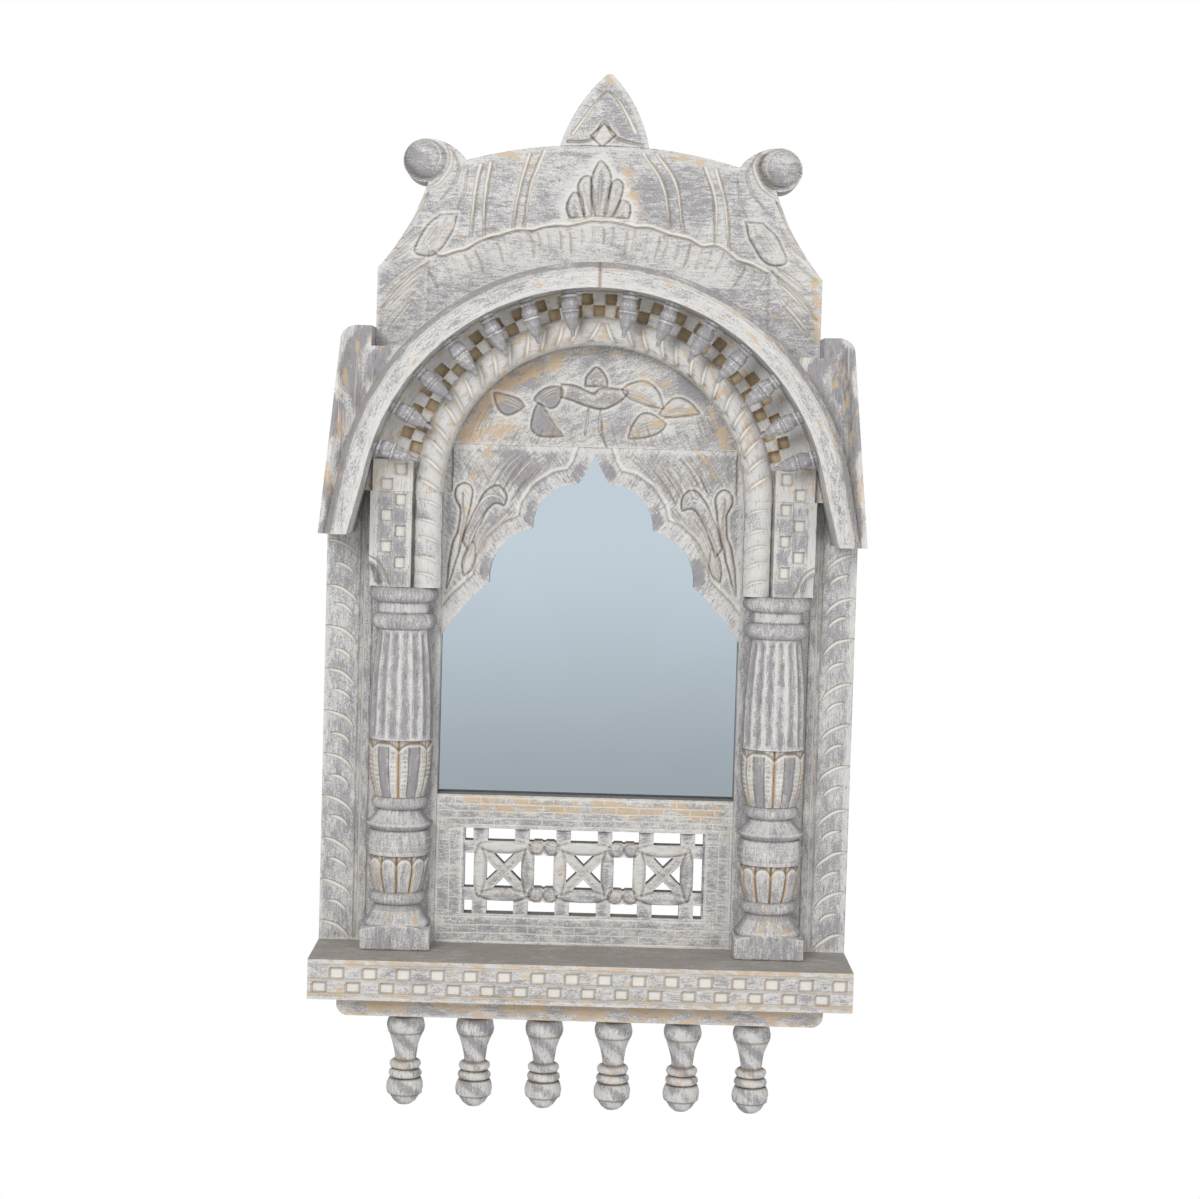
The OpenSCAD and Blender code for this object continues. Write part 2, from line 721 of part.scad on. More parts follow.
// A pointed block with bowed sides, which sits on the dome with its dowel
module crown_finial() {
    top_z = dome_z + finial_h - tip;
    sink = 0.2 * finial_x;
    side = concat(arc_to([finial_x, dome_z], [3, top_z], -5, 8),
                  arc_to([3, top_z], [-3, top_z], -tip, 3),
                  arc_to([-3, top_z], [-finial_x, dome_z], -5, 8));
    color(wood) {
        slab(-finial_y - finial_t / 2, -finial_y + finial_t / 2) difference() {
            polygon(concat([[-finial_x, dome_z - sink], [finial_x, dome_z - sink],
                            [finial_x, dome_z]], side));
            crown_outline();
        }
        translate([0, -finial_y, dome_z - 0.4 * dowel_l])
            cylinder(r = dowel_r, h = 0.4 * dowel_l + 2 * tip);
    }
}

module crown_dowels() {
    color("#b98f5c") for (s = [-1, 1])
        translate([s * column_x, -frame_t / 2, frame_h - dowel_l / 2])
            cylinder(r = dowel_r, h = dowel_l);
}

module shelf_board() {
    count = floor(frame_w / edge_pitch);
    color(dark) difference() {
        translate([-frame_w / 2, -shelf_d, -shelf_t]) cube([frame_w, shelf_d, shelf_t]);
        // Two staggered rows of recesses in the front edge
        for (row = [-0.5, 0.5]) for (i = [0:count - 1])
            translate([(i - (count - 1) / 2 + row / 2) * edge_pitch - edge_w / 2,
                       -shelf_d - 1, -shelf_t / 2 + row * (edge_h + 4) - edge_h / 2])
                cube([edge_w, 1 + edge_cut, edge_h]);
        for (s = [-1, 1]) {
            translate([s * column_x, column_y, -spigot_l - tip])
                cylinder(r = spigot_r + fit, h = spigot_l + 2 * tip);
            for (dx = screw_places)
                translate([s * (half_open + dx), -frame_t / 2, -shelf_t - tip])
                    cylinder(r = screw_r + fit, h = shelf_t + 2 * tip);
        }
        for (i = [1:pendant_count]) pendant_place(i)
            translate([0, 0, step_t - tip]) cylinder(r = pendant_pin_r + fit, h = step_t);
    }
}

// The thinner board under the shelf, with rounded lower ends
module shelf_step() {
    length = frame_w - 2 * step_inset;
    round_r = step_t * 0.6;
    color(wood) difference() {
        slab(-step_d, 0) difference() {
            translate([-length / 2, -shelf_t - step_t]) square([length, step_t]);
            for (s = [-1, 1]) translate([s * (length / 2 - round_r), -shelf_t - step_t + round_r])
                difference() {
                    translate([min(0, s * (round_r + 1)), -round_r - 1])
                        square([round_r + 1, round_r + 1]);
                    circle(round_r);
                }
        }
        for (i = [1:pendant_count]) pendant_place(i)
            translate([0, 0, -tip]) cylinder(r = pendant_pin_r + fit, h = step_t + 2 * tip);
        for (s = [-1, 1]) for (dx = screw_places)
            translate([s * (half_open + dx), -frame_t / 2, -shelf_t - step_t - tip])
                cylinder(r = 2 * screw_r + 0.5, h = step_t + 2 * tip);
    }
}

module shelf_screws() {
    color("#6f6f70") for (s = [-1, 1]) for (dx = screw_places) {
        translate([s * (half_open + dx), -frame_t / 2, -shelf_t])
            cylinder(r = screw_r, h = shelf_t + screw_bite);
        translate([s * (half_open + dx), -frame_t / 2, -shelf_t - 1.2 * screw_r])
            cylinder(r = 2 * screw_r, h = 1.2 * screw_r);
    }
}

// Origin of pendant i at the step board's underside
module pendant_place(i) {
    translate([(i - (pendant_count + 1) / 2) * pendant_pitch, -pendant_y, -shelf_t - step_t])
        children();
}

function pendant_profile() = let (r = pendant_r, l = pendant_l) concat(
    [[0, -l], [0.42 * r, -l], [0.66 * r, -0.95 * l], [0.8 * r, -0.9 * l]],
    swell(-0.9 * l, 0.19 * l, 0.8 * r, 0.8 * r, 0.14 * r),
    bead(-0.71 * l, 0.08 * l, 0.84 * r, 4),
    bead(-0.63 * l, 0.08 * l, 0.78 * r, 4),
    swell(-0.55 * l, 0.29 * l, 0.57 * r, 0.88 * r, -0.12 * r),
    swell(-0.25 * l, 0.18 * l, 0.88 * r, 0.78 * r, 0.14 * r),
    [[0.76 * r, -0.06 * l], [0.8 * r, 0], [0, 0]]);

module pendant() {
    rotate_extrude($fn = 48) polygon(pendant_profile());
    translate([0, 0, -tip]) cylinder(r = pendant_pin_r, h = 1.6 * step_t);
}

// A keyhole plate, flush in the back of a stile
module hanger() {
    color("#a9a9ac") difference() {
        translate([hanger_x - hanger_w / 2, -hanger_t, hanger_z - hanger_h / 2])
            cube([hanger_w, hanger_t, hanger_h]);
        translate([hanger_x, -hanger_t - tip, hanger_z]) rotate([-90, 0, 0])
            cylinder(r = hanger_hole_r, h = hanger_t + 2 * tip);
        translate([hanger_x - hanger_slot_w / 2, -hanger_t - tip, hanger_z])
            cube([hanger_slot_w, hanger_t + 2 * tip, hanger_slot_h]);
        for (dz = [-1, 1])
            translate([hanger_x, -hanger_t - tip, hanger_z + dz * hanger_screw_z])
                rotate([-90, 0, 0]) cylinder(r = hanger_screw_r + fit, h = hanger_t + 2 * tip);
    }
}

module hanger_screws() {
    length = hanger_t + hanger_screw_l;
    color("#8a8a8c") for (s = [-1, 1]) for (dz = [-1, 1])
        translate([s * hanger_x, -length, hanger_z + dz * hanger_screw_z])
            rotate([-90, 0, 0]) cylinder(r = hanger_screw_r, h = length);
}

// Every sub-part is drawn with the origin between the hangers
module placed() {
    translate([0, 0, -hanger_z]) children();
}

placed() {
    for (s = [-1, 1]) {
        side = s < 0 ? "left_" : "right_";
        color(wood) sided(s) stile();
        sided(s) spandrel();
        color(wood) translate([s * column_x, 0, 0]) column();
        color(wood) sided(s) translate([column_x, 0, 0]) pilaster();
        color(wood) sided(s) hood_half();
        color(grey) sided(s) shoulder();
        sided(s) hanger();
        for (i = [1:drop_count])
            color(grey) sided(s) drop_place(i) drop();
    }
    for (i = [1:pendant_count])
        color(wood) pendant_place(i) pendant();
    for (i = [1:4])
        turn_button(i < 3 ? -1 : 1, i % 2 == 1 ? button_low_z : button_high_z);
    top_rail();
    sill_rail();
    jali_panel();
    tympanum();
    mirror_glass();
    mirror_backing();
    button_screws();
    arch_ring();
    crown_panel();
    crown_finial();
    crown_dowels();
    shelf_board();
    shelf_step();
    shelf_screws();
    hanger_screws();
}
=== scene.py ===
# %% [markdown]
# A wall mirror in the shape of a jharokha, the carved balcony window of old Indian houses.
# It is cut from soft wood with knives and gouges, brushed with grey and then with white wash,
# and rubbed until tan wood shows on the high edges. This lesson builds that look round a frame
# of plain solids: boards get a carved front, turned pieces get a fresh turning, and one family
# of paint finishes covers them all.

# %% Load the frame of plain solids
import json
import math
from itertools import product
import bmesh
import bpy
import numpy as np
from mathutils import Matrix, Vector
from mathutils.bvhtree import BVHTree

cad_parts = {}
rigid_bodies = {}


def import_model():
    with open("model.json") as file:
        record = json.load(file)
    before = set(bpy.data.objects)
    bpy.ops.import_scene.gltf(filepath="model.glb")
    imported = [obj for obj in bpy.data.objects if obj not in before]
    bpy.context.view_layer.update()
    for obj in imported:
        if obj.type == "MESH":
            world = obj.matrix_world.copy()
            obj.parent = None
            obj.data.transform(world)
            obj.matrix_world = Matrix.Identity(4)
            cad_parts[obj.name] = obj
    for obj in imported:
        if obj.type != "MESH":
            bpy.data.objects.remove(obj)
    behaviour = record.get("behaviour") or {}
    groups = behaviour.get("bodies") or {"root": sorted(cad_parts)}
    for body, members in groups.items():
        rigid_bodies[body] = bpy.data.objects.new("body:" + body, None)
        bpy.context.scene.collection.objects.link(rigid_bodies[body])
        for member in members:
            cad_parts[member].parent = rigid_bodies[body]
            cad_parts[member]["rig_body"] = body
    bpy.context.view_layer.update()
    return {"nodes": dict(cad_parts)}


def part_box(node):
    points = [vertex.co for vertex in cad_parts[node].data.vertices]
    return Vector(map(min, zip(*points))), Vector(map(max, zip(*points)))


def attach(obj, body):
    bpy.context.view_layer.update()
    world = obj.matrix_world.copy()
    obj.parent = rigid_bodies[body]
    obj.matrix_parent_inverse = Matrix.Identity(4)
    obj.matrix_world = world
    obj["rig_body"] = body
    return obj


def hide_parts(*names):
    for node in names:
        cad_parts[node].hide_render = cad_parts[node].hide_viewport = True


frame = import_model()
scene = bpy.context.scene
print("nodes in the frame:", len(frame["nodes"]))

# %% [markdown]
# The frame is in metres, with its origin on the wall between the hangers. A carver would
# rather count in millimetres from the shelf's top, so every size below is in millimetres and
# every height starts at the shelf. Two small helpers change between the two.

# %% Millimetres above the shelf
MM = 0.001
SHELF_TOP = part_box("shelf_board")[1].z


def reach(node):
    """Lowest and highest corner of a node, in mm above the shelf."""
    return [(np.array(corner) - (0, 0, SHELF_TOP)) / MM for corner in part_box(node)]


def to_frame(points):
    """Points in mm above the shelf, as metres in the frame."""
    return np.asarray(points, float) * MM + (0, 0, SHELF_TOP)


# The stiles give half the opening's and half the frame's width, and the panels' front face.
(HALF_OPEN, FRAME_FRONT, _), (HALF_FRAME, _, FRAME_TOP) = reach("right_stile")
SEAM_Z = reach("tympanum")[0][2]              # seam between the cusped panels and the upper one
JALI_TOP = reach("jali_panel")[1][2]
RING_Z = reach("right_pilaster")[1][2]        # centre of the inner arch
RING_FRONT = FRAME_FRONT - 24                 # front face of the ring beside its rope
ROPE_X = HALF_OPEN + 12                       # middle of the rope moulding
CHECKER_X, CHECKER_R = 159.5, 157             # where the checkers begin, on the pilasters and the ring
NICK = 4                                      # depth of the square holes beside the rope
HOOD_FOOT = reach("right_hood")[0][2]
HOOD_Z = HOOD_FOOT + 15                       # centre of the canopy's arch
HOOD_OUT_R = reach("right_hood")[1][2] - HOOD_Z
HOOD_IN_R = HOOD_OUT_R - 22
HOOD_CORNER_X = 231                           # outer corner of the canopy's foot
print("opening", 2 * HALF_OPEN, "frame", 2 * HALF_FRAME, "ring at", RING_Z, "canopy", HOOD_OUT_R)

# %% [markdown]
# Shader maths reads best as sums. A small class wraps an output socket, so that
# 1 - mask * 0.5 adds the Math nodes by itself. Every other node comes from one method
# that takes its type, its settings and its inputs.


# %% A socket that can be used in sums
class Wire:
    """One output socket of a material."""

    def __init__(self, finish, socket):
        self.finish = finish
        self.socket = socket

    def maths(self, operation, *values):
        return self.finish.node("ShaderNodeMath", {"operation": operation}, *values)

    def __add__(self, other):
        return self.maths("ADD", self, other)

    def __sub__(self, other):
        return self.maths("SUBTRACT", self, other)

    def __rsub__(self, other):
        return self.maths("SUBTRACT", other, self)

    def __mul__(self, other):
        return self.maths("MULTIPLY", self, other)

    def between(self, low, high):
        """0 below low, 1 above high, and a smooth way in between."""
        settings = {"interpolation_type": "SMOOTHSTEP"}
        return self.finish.node("ShaderNodeMapRange", settings, self, low, high)


# %% A finish whose nodes are added one after the other
class Finish:
    """A material or a world, built node by node."""

    def __init__(self, name, family=bpy.data.materials):
        self.owner = family.new(name)
        self.owner.use_nodes = True
        self.tree = self.owner.node_tree
        self.tree.nodes.clear()

    def node(self, kind, settings=None, *values, out=0, **named):
        """Adds a node, sets it up and fills its inputs, in order or by name."""
        node = self.tree.nodes.new(kind)
        for key, value in (settings or {}).items():
            setattr(node, key, value)
        slots = {s.name.replace(" ", "_"): s for s in reversed(node.inputs)}
        slots.update({s.identifier: s for s in node.inputs})
        for socket, value in list(zip(node.inputs, values)) + [(slots[k], v) for k, v in named.items()]:
            if isinstance(value, Wire):
                self.tree.links.new(value.socket, socket)
            elif value is not None:
                socket.default_value = (*value, 1) if socket.type == "RGBA" else value
        return Wire(self, node.outputs[out]) if node.outputs else None

    def mix(self, first, second, factor):
        """The first colour where the factor is 0, the second where it is 1."""
        return self.node("ShaderNodeMix", {"data_type": "RGBA"}, out=2, Factor_Float=factor,
                         A_Color=first, B_Color=second)

    def attribute(self, name, out=2):
        """A mask that is stored on the mesh."""
        return self.node("ShaderNodeAttribute", {"attribute_name": name}, out=out)

    def noise(self, place, stretch, detail=3.0, roughness=0.55):
        """Noise on a place that is stretched first: larger numbers give finer grain."""
        scaled = self.node("ShaderNodeVectorMath", {"operation": "MULTIPLY"}, place, stretch)
        return self.node("ShaderNodeTexNoise", None, Vector=scaled, Scale=1.0,
                         Detail=detail, Roughness=roughness)

    def place(self):
        """The place in the piece's own frame, in metres."""
        return self.node("ShaderNodeTexCoord", None, out=3)

    def close(self, **inputs):
        """Ends the material in a Principled shader."""
        surface = self.node("ShaderNodeBsdfPrincipled", None, **inputs)
        self.node("ShaderNodeOutputMaterial", None, surface)
        return self.owner


def tint(red, green, blue):
    """A colour in the 0 to 255 steps of a screen, as the shader's linear values."""
    steps = np.array([red, green, blue]) / 255
    return tuple(np.where(steps > 0.04045, ((steps + 0.055) / 1.055) ** 2.4, steps / 12.92))


# %% [markdown]
# The wash is dry-brushed: a nearly dry brush drags white over the grey ground coat and leaves
# streaks along the stroke, 1 mm wide and many millimetres long. Noise that is stretched along
# the stroke gives this. Each mesh stores where a point lies across and along its strokes, so
# that the streaks follow the grain, the arch or the turning. Other stored masks say where a
# cut shows cream, where a dark line stays and what is worn. The mask of what lies deep is
# painted shade, olive and less white, and the tone mask carries some painted light and shade.

# %% Whitewash over grey, worn to tan wood
WHITE = tint(223, 221, 218)
BRIGHT = tint(240, 239, 236)
GREY = tint(163, 161, 164)
DARK_GREY = tint(117, 115, 117)
TAN = tint(216, 190, 155)
CREAM = tint(242, 239, 232)
BROWN = tint(140, 120, 98)
# Olive for the painted shade in hollows and on side faces.
SHADE_OLIVE = tint(108, 98, 78)
RAW = tint(208, 182, 134)


def washed(name, cover, tan=0.0, ground=GREY, white=WHITE):
    """Paint with a share of white cover, tan where it is worn, and painted olive shade in hollows."""
    finish = Finish(name)
    place = finish.attribute("brush", out=1)
    hairs = finish.noise(place, (0.75, 0.12, 1.0), 5.0, 0.75)
    dabs = finish.noise(place, (0.22, 0.07, 4.0), 5.0, 0.7)
    clouds = finish.noise(place, (0.045, 0.026, 7.0), 2.0)
    specks = finish.noise(place, (0.95, 0.75, 2.0), 2.0, 0.8)
    # The hollow mask is painted shade: it takes white away, darkens the scratches and mixes in olive in
    # recesses and on side faces.
    worn, shade_in_hollows = finish.attribute("worn"), finish.attribute("hollow")
    bald = finish.attribute("bare")
    amount = hairs * 0.65 + dabs * 0.60 + clouds * 0.45 + specks * 0.80
    # The tone mask is tone that differs at random, and on some boards painted light and shade as well.
    amount = amount + worn * 0.15 + finish.attribute("tone") * 0.16 - shade_in_hollows * 0.15
    coat = amount.between(1.36 - 0.45 * cover, 1.63 - 0.45 * cover)
    colour = finish.mix(ground, white, coat)
    scratches = finish.noise(place, (0.66, 0.11, 1.7), 5.0, 0.75)
    colour = finish.mix(colour, DARK_GREY, (scratches + shade_in_hollows * 0.1).between(0.54, 0.70) * 0.7)
    colour = finish.mix(colour, BRIGHT, (1 - scratches).between(0.54, 0.67) * (coat * 0.6 + 0.25))
    wear = finish.noise(place, (0.17, 0.075, 2.3), 6.0, 0.74)
    wear = (wear + worn * 0.05 + clouds * 0.14 + bald * 0.2).between(0.715 - tan, 0.80 - tan)
    colour = finish.mix(colour, TAN, wear * (specks * 1.1 + 0.2))
    # Painted shade: olive where the hollow mask is high.
    colour = finish.mix(colour, SHADE_OLIVE, shade_in_hollows.between(0.4, 1.4) * 0.6)
    colour = finish.mix(colour, CREAM, finish.attribute("cut") * (specks * 0.7 + 0.55))
    colour = finish.mix(colour, BROWN, finish.attribute("line") * (specks * 0.9 + 0.25))
    grain = finish.noise(place, (0.9, 0.03, 3.1), 4.0)
    bare_wood = finish.mix(RAW, TAN, grain.between(0.35, 0.65))
    colour = finish.mix(colour, bare_wood, finish.attribute("raw"))
    bump = finish.node("ShaderNodeBump", None, Strength=0.4, Distance=0.0006,
                       Height=hairs * 0.6 + specks * 0.4)
    return finish.close(Base_Color=colour, Roughness=dabs * 0.2 + 0.74, Normal=bump,
                        Specular_IOR_Level=0.35)


PAINT = {name: washed(name, *how) for name, how in {
    "whitewash": (0.50,), "tan_wash": (0.48, 0.03), "grey_wash": (0.22, 0.01), "drop_wash": (0.18, -0.05),
    "shelf_wash": (0.30, 0.0, tint(164, 158, 151), tint(196, 191, 185))}.items()}
print("paints:", sorted(PAINT))

# %% [markdown]
# Carving starts with drawing. A curve runs smoothly through a few points, and a leaf is drawn
# from its stem to its tip. Nothing that a hand draws is quite straight, so each line also
# wanders by a fraction of a millimetre.

# %% Random draws and small helpers
rng = np.random.default_rng(7)
SHIFT = (0, 400)                  # range of the shifts that give each piece its own streaks


def bell(distance, width):
    """1 at no distance, and a smooth fall to 0 over about twice the width."""
    return np.exp(-(distance / width) ** 2)


def at_least(mask, values, part=...):
    """Raises a part of a mask to the values where it is lower."""
    mask[part] = np.maximum(mask[part], values)


def run_along(line):
    """The way from the start of a line to each of its points."""
    return np.concatenate([[0], np.cumsum(np.hypot(*np.diff(line, axis=0).T))])


# %% Curves, leaves and an unsteady hand
def curve(*points):
    """A smooth curve through a few points."""
    p = np.array(points, float)
    p = np.vstack([2 * p[0] - p[1], p, 2 * p[-1] - p[-2]])
    t = np.linspace(0, 1, 9, endpoint=False)[:, None]
    spans = [0.5 * (2 * b + (c - a) * t + (2 * a - 5 * b + 4 * c - d) * t ** 2
                    + (3 * b - a - 3 * c + d) * t ** 3) for a, b, c, d in zip(p, p[1:], p[2:], p[3:])]
    return np.vstack(spans + [p[-2:-1]])


def leaf(stem, tip, width, bend=0.0, fullest=0.45):
    """Outline of a leaf from its stem to its tip, bent to one side."""
    stem, tip = np.array(stem, float), np.array(tip, float)
    way = tip - stem
    side = np.array([-way[1], way[0]]) / np.hypot(*way)
    t = np.linspace(0, 1, 14)[:, None]
    middle = stem + way * t + side * bend * np.sin(np.pi * t)
    half = 0.5 * width * np.sin(np.pi * t ** (math.log(0.5) / math.log(fullest))) ** 0.8
    return np.vstack([middle + side * half, (middle - side * half)[::-1][1:]])


def ring_point(radius, angle, centre_z):
    """A point at an angle from the vertical, in degrees, round a centre on the axis."""
    turn = np.radians(angle)
    return np.stack([radius * np.sin(turn), centre_z + radius * np.cos(turn)], -1)


def wandering(line):
    """The line as a hand would cut it, up to half a millimetre off."""
    run = run_along(line)[:, None]
    sway = sum(np.sin(run / wave + rng.uniform(0, 6.3, 2)) for wave in (3.1, 7.7, 17.0))
    return line + 0.35 * sway / 2


# %% Distance to a line, and the inside of an outline
def distance_to(line, X, Z):
    """Distance of each point to a line, its share of the way along it, and its side."""
    line = np.asarray(line, float)
    run = run_along(line)
    away = np.full(X.shape, np.inf)
    along, side = np.zeros(X.shape), np.ones(X.shape)
    for a, b, start in zip(line, line[1:], run):
        way = b - a
        length = np.hypot(*way)
        if length == 0:
            continue
        share = np.clip(((X - a[0]) * way[0] + (Z - a[1]) * way[1]) / length ** 2, 0, 1)
        dx, dz = X - a[0] - share * way[0], Z - a[1] - share * way[1]
        distance = np.hypot(dx, dz)
        nearer = distance < away
        away = np.where(nearer, distance, away)
        along = np.where(nearer, (start + share * length) / run[-1], along)
        side = np.where(nearer, np.sign(way[0] * dz - way[1] * dx), side)
    return away, along, side


def inside(outline, X, Z):
    """Which points lie inside a closed outline."""
    found = np.zeros(X.shape, bool)
    for (ax, az), (bx, bz) in zip(outline, np.roll(outline, -1, 0)):
        if az != bz:
            found ^= ((az > Z) != (bz > Z)) & (X < (bx - ax) * (Z - az) / (bz - az) + ax)
    return found


# %% [markdown]
# A board could be carved by sculpting or by displacing its faces, but both round off the crisp
# outline that the frame already has. Here the carved front is a fine height map: it starts at
# the plain board's own front, found by casting rays at it, and each cut makes it deeper. The
# map becomes the front of a thick block, and a boolean keeps what lies in both the block and
# the plain board. So the outline, the openings and the joints behind stay exactly right.


# %% The plain board's front, found with rays
ROOM_Y, BEHIND_Y = -400, 60       # well in front of every board, and well behind it
SKIN = 0.05                       # the least that is cut away from a board's front


def array_of(things, name, width=1, kind=float):
    """One property of all corners or faces, as an array."""
    values = np.empty(len(things) * width, kind)
    things.foreach_get(name, values)
    return values.reshape(-1, width) if width > 1 else values


def plain_solid(node):
    """Corners and faces of a node with its seams closed, in mm above the shelf."""
    mesh = frame["nodes"][node].data
    spots = (array_of(mesh.vertices, "co", 3) - (0, 0, SHELF_TOP)) / MM
    kept, which = np.unique(np.round(spots, 3), axis=0, return_inverse=True)
    which = which.reshape(-1)
    faces = [[int(which[v]) for v in p.vertices] for p in mesh.polygons]
    return kept, [f for f in faces if len(set(f)) == len(f)]


def front_of(solid, X, Z):
    """Depth of the first thing that a ray from the room meets, and where it meets anything."""
    tree = BVHTree.FromPolygons([Vector(v) for v in solid[0]], solid[1])
    found = np.full(X.shape, np.nan)
    for spot in np.ndindex(X.shape):
        hit = tree.ray_cast(Vector((X[spot], ROOM_Y, Z[spot])), Vector((0, 1, 0)))[0]
        if hit is not None:
            found[spot] = hit.y
    return found, ~np.isnan(found)


# %% Filling in and smoothing a grid
def spread(values, known):
    """Carries known values six cells into the unknown ones, and an average beyond."""
    values, known = values.copy(), known.copy()
    for _, axis, shift in product(range(6), (0, 1), (-1, 1)):
        fill = np.roll(known, shift, axis) & ~known
        values[fill] = np.roll(values, shift, axis)[fill]
        known |= fill
    values[~known] = np.nanmean(values[known])
    return values


def blurred(values, cells):
    """The values, each averaged with its neighbours three times over."""
    for _, axis in product(range(3), (0, 1)):
        pad = [(cells, cells) if a == axis else (0, 0) for a in (0, 1)]
        total = np.cumsum(np.pad(values, pad, mode="edge"), axis=axis)
        ahead, behind = [slice(None)] * 2, [slice(None)] * 2
        ahead[axis], behind[axis] = slice(2 * cells, None), slice(None, -2 * cells)
        values = (total[tuple(ahead)] - total[tuple(behind)]) / (2 * cells)
    return values


# %% [markdown]
# The carver's tools are methods of one class: a gouge follows a line, and a raised leaf is
# left standing when its ground is cut away. Every cut also stores its paint: cream in the
# scratched grooves and a brown line along the edges of leaves. What comes in pairs is drawn
# once, for the right side, and the tools turn the drawing over for the left one.


# %% A board under the carver's tools
class Carving:
    """A board's front as depths and paint masks on a fine grid, in mm."""

    def __init__(self, node, step=0.6, uneven=0.3, ground=0.0):
        self.node, self.step = node, step
        self.turn = np.array([-1.0 if node.startswith("left") else 1.0, 1.0])
        self.solid = plain_solid(node)
        self.low, self.high = low, high = reach(node)
        self.X, self.Z = np.meshgrid(*[np.arange(low[a] - step, high[a] + 2 * step, step) for a in (0, 2)],
                                     indexing="ij")
        self.out = self.turn[0] * self.X
        front, self.known = front_of(self.solid, self.X, self.Z)
        self.front = spread(front, self.known)
        waves = np.zeros(self.X.shape)
        for wave in (9, 14, 23, 37):
            turn, start = rng.uniform(0, 6.3, 2)
            waves += np.sin((self.X * np.cos(turn) + self.Z * np.sin(turn)) / wave * 3 + start)
        self.depth = 0.12 + ground + uneven * (0.5 + waves / 8)
        self.cut, self.line, self.raw, self.tone, self.bare = np.zeros((5, *self.X.shape))

    def both_sides(self):
        """Turns the drawing over for the left side, and back for the right one."""
        for s in (-1, 1):
            self.turn = np.array([s, 1.0])
            yield s

    def near(self, line, pad):
        """The part of the grid round a line, and what distance_to says there."""
        low, high = line.min(0) - pad, line.max(0) + pad
        part = (slice(*np.searchsorted(self.X[:, 0], (low[0], high[0]))),
                slice(*np.searchsorted(self.Z[0], (low[1], high[1]))))
        return part, *distance_to(line, self.X[part], self.Z[part])

    def gouge(self, line, width=1.8, depth=0.8, cream=1.0, brown=0.0, taper="both", lean=0.0):
        """Cuts along a line. A leaning cut has one steep wall, on the line's left for 1."""
        line = wandering(np.asarray(line, float) * self.turn)
        part, away, along, side = self.near(line, width + 2)
        slim = {"both": np.sqrt(np.sin(np.pi * np.clip(along, 0.003, 0.997))),
                "end": np.sqrt(np.clip(1 - along, 0.01, 1)), "none": 1.0}[taper]
        half = 0.5 * width * slim
        share = away / half
        bowl = np.clip(1 - share ** 2, 0, 1)
        if lean:
            bowl = np.where(share < 1, 0.5 + 0.5 * side * share * lean, 0)
        self.depth[part] += depth * bowl
        at_least(self.cut, cream * np.clip(1.35 - share, 0, 1), part)
        at_least(self.line, brown * bell(away - half, 0.55), part)

    def rub(self, line, width, amount):
        """Rubs the paint away along a line, down to the tan wood."""
        part, away, *_ = self.near(np.asarray(line, float) * self.turn, 1.5 * width)
        at_least(self.bare, amount * bell(away * 1.6, width), part)

    def paint_holes(self, holes):
        """Cream in the bottom of square holes, with brown along their edges."""
        soft = blurred(holes.astype(float), 1)
        at_least(self.cut, 1.0 * holes)
        at_least(self.line, np.clip(4 * soft * (1 - soft), 0, 1) * 0.55)

    def raise_leaf(self, outline, height=2.2, soft=4.0, rim=1.1, brown=0.8, tone=-0.5):
        """Leaves a rounded shape standing, with a fine cut and a white halo round it."""
        outline = wandering(np.asarray(outline, float) * self.turn)
        part, away, *_ = self.near(np.vstack([outline, outline[:1]]), 8)
        within = inside(outline, self.X[part], self.Z[part])
        swell = np.where(within, np.clip(away / soft, 0, 1), 0)
        self.depth[part] += rim * bell(away, 0.8) - height * swell * (2 - swell)
        at_least(self.line, brown * bell(away, 0.55), part)
        self.cut[part] *= np.where(within, 0.4, 1)
        at_least(self.cut, bell(away - 2.0, 1.3) * (0.15 + 0.45 * ~within), part)
        self.tone[part] += np.where(within, tone, 0)

    def between(self, first, last, count, cream=(0.2, 1.0), brown=(0.1, 0.6), width=(1.0, 1.9)):
        """Cuts a row of strokes that lead over from one line to another."""
        ends = []
        for line in (first, last):
            run = run_along(line)
            places = np.linspace(0, 1, 12) * run[-1]
            ends.append(np.stack([np.interp(places, run, line[:, a]) for a in (0, 1)], -1))
        for share in np.linspace(0, 1, count):
            stroke = ends[0] * (1 - share) + ends[1] * share + rng.uniform(-0.8, 0.8, 2) * self.turn
            start, stop = rng.integers(0, 4), 12 - rng.integers(0, 4)
            self.gouge(stroke[start:stop], rng.uniform(*width), rng.uniform(0.5, 1.1),
                       rng.uniform(*cream), rng.uniform(*brown))


# %% [markdown]
# When the drawing is done, the block is built from the height map and the boolean is run. The
# masks go onto the corners of the faces: what looks to the room gets the carved masks, sides
# get plain paint with as much painted shade and painted light as the board asks for, and the
# back stays raw wood.


# %% From the height map to a mesh
def block(board):
    """Corners and faces of a thick block whose front is the carved one."""
    wide, tall = board.X.shape
    spots = np.stack([board.X, board.front + np.maximum(board.depth, SKIN), board.Z], -1).reshape(-1, 3)
    number = np.arange(wide * tall).reshape(wide, tall)
    quads = np.stack([number[:-1, :-1], number[1:, :-1], number[1:, 1:], number[:-1, 1:]], -1)
    rim = np.concatenate([number[:-1, 0], number[-1, :-1], number[:0:-1, -1], number[0, :0:-1]])
    behind = spots[rim] * (1, 0, 1) + (0, BEHIND_Y, 0)
    back = len(spots) + np.arange(len(rim))
    sides = np.stack([rim, back, np.roll(back, -1), np.roll(rim, -1)], -1)
    fan = np.stack([np.roll(back, -1), back, np.full(len(rim), len(spots) + len(rim))], -1)
    return np.vstack([spots, behind, behind.mean(0)]), np.vstack([quads.reshape(-1, 4), sides]), fan


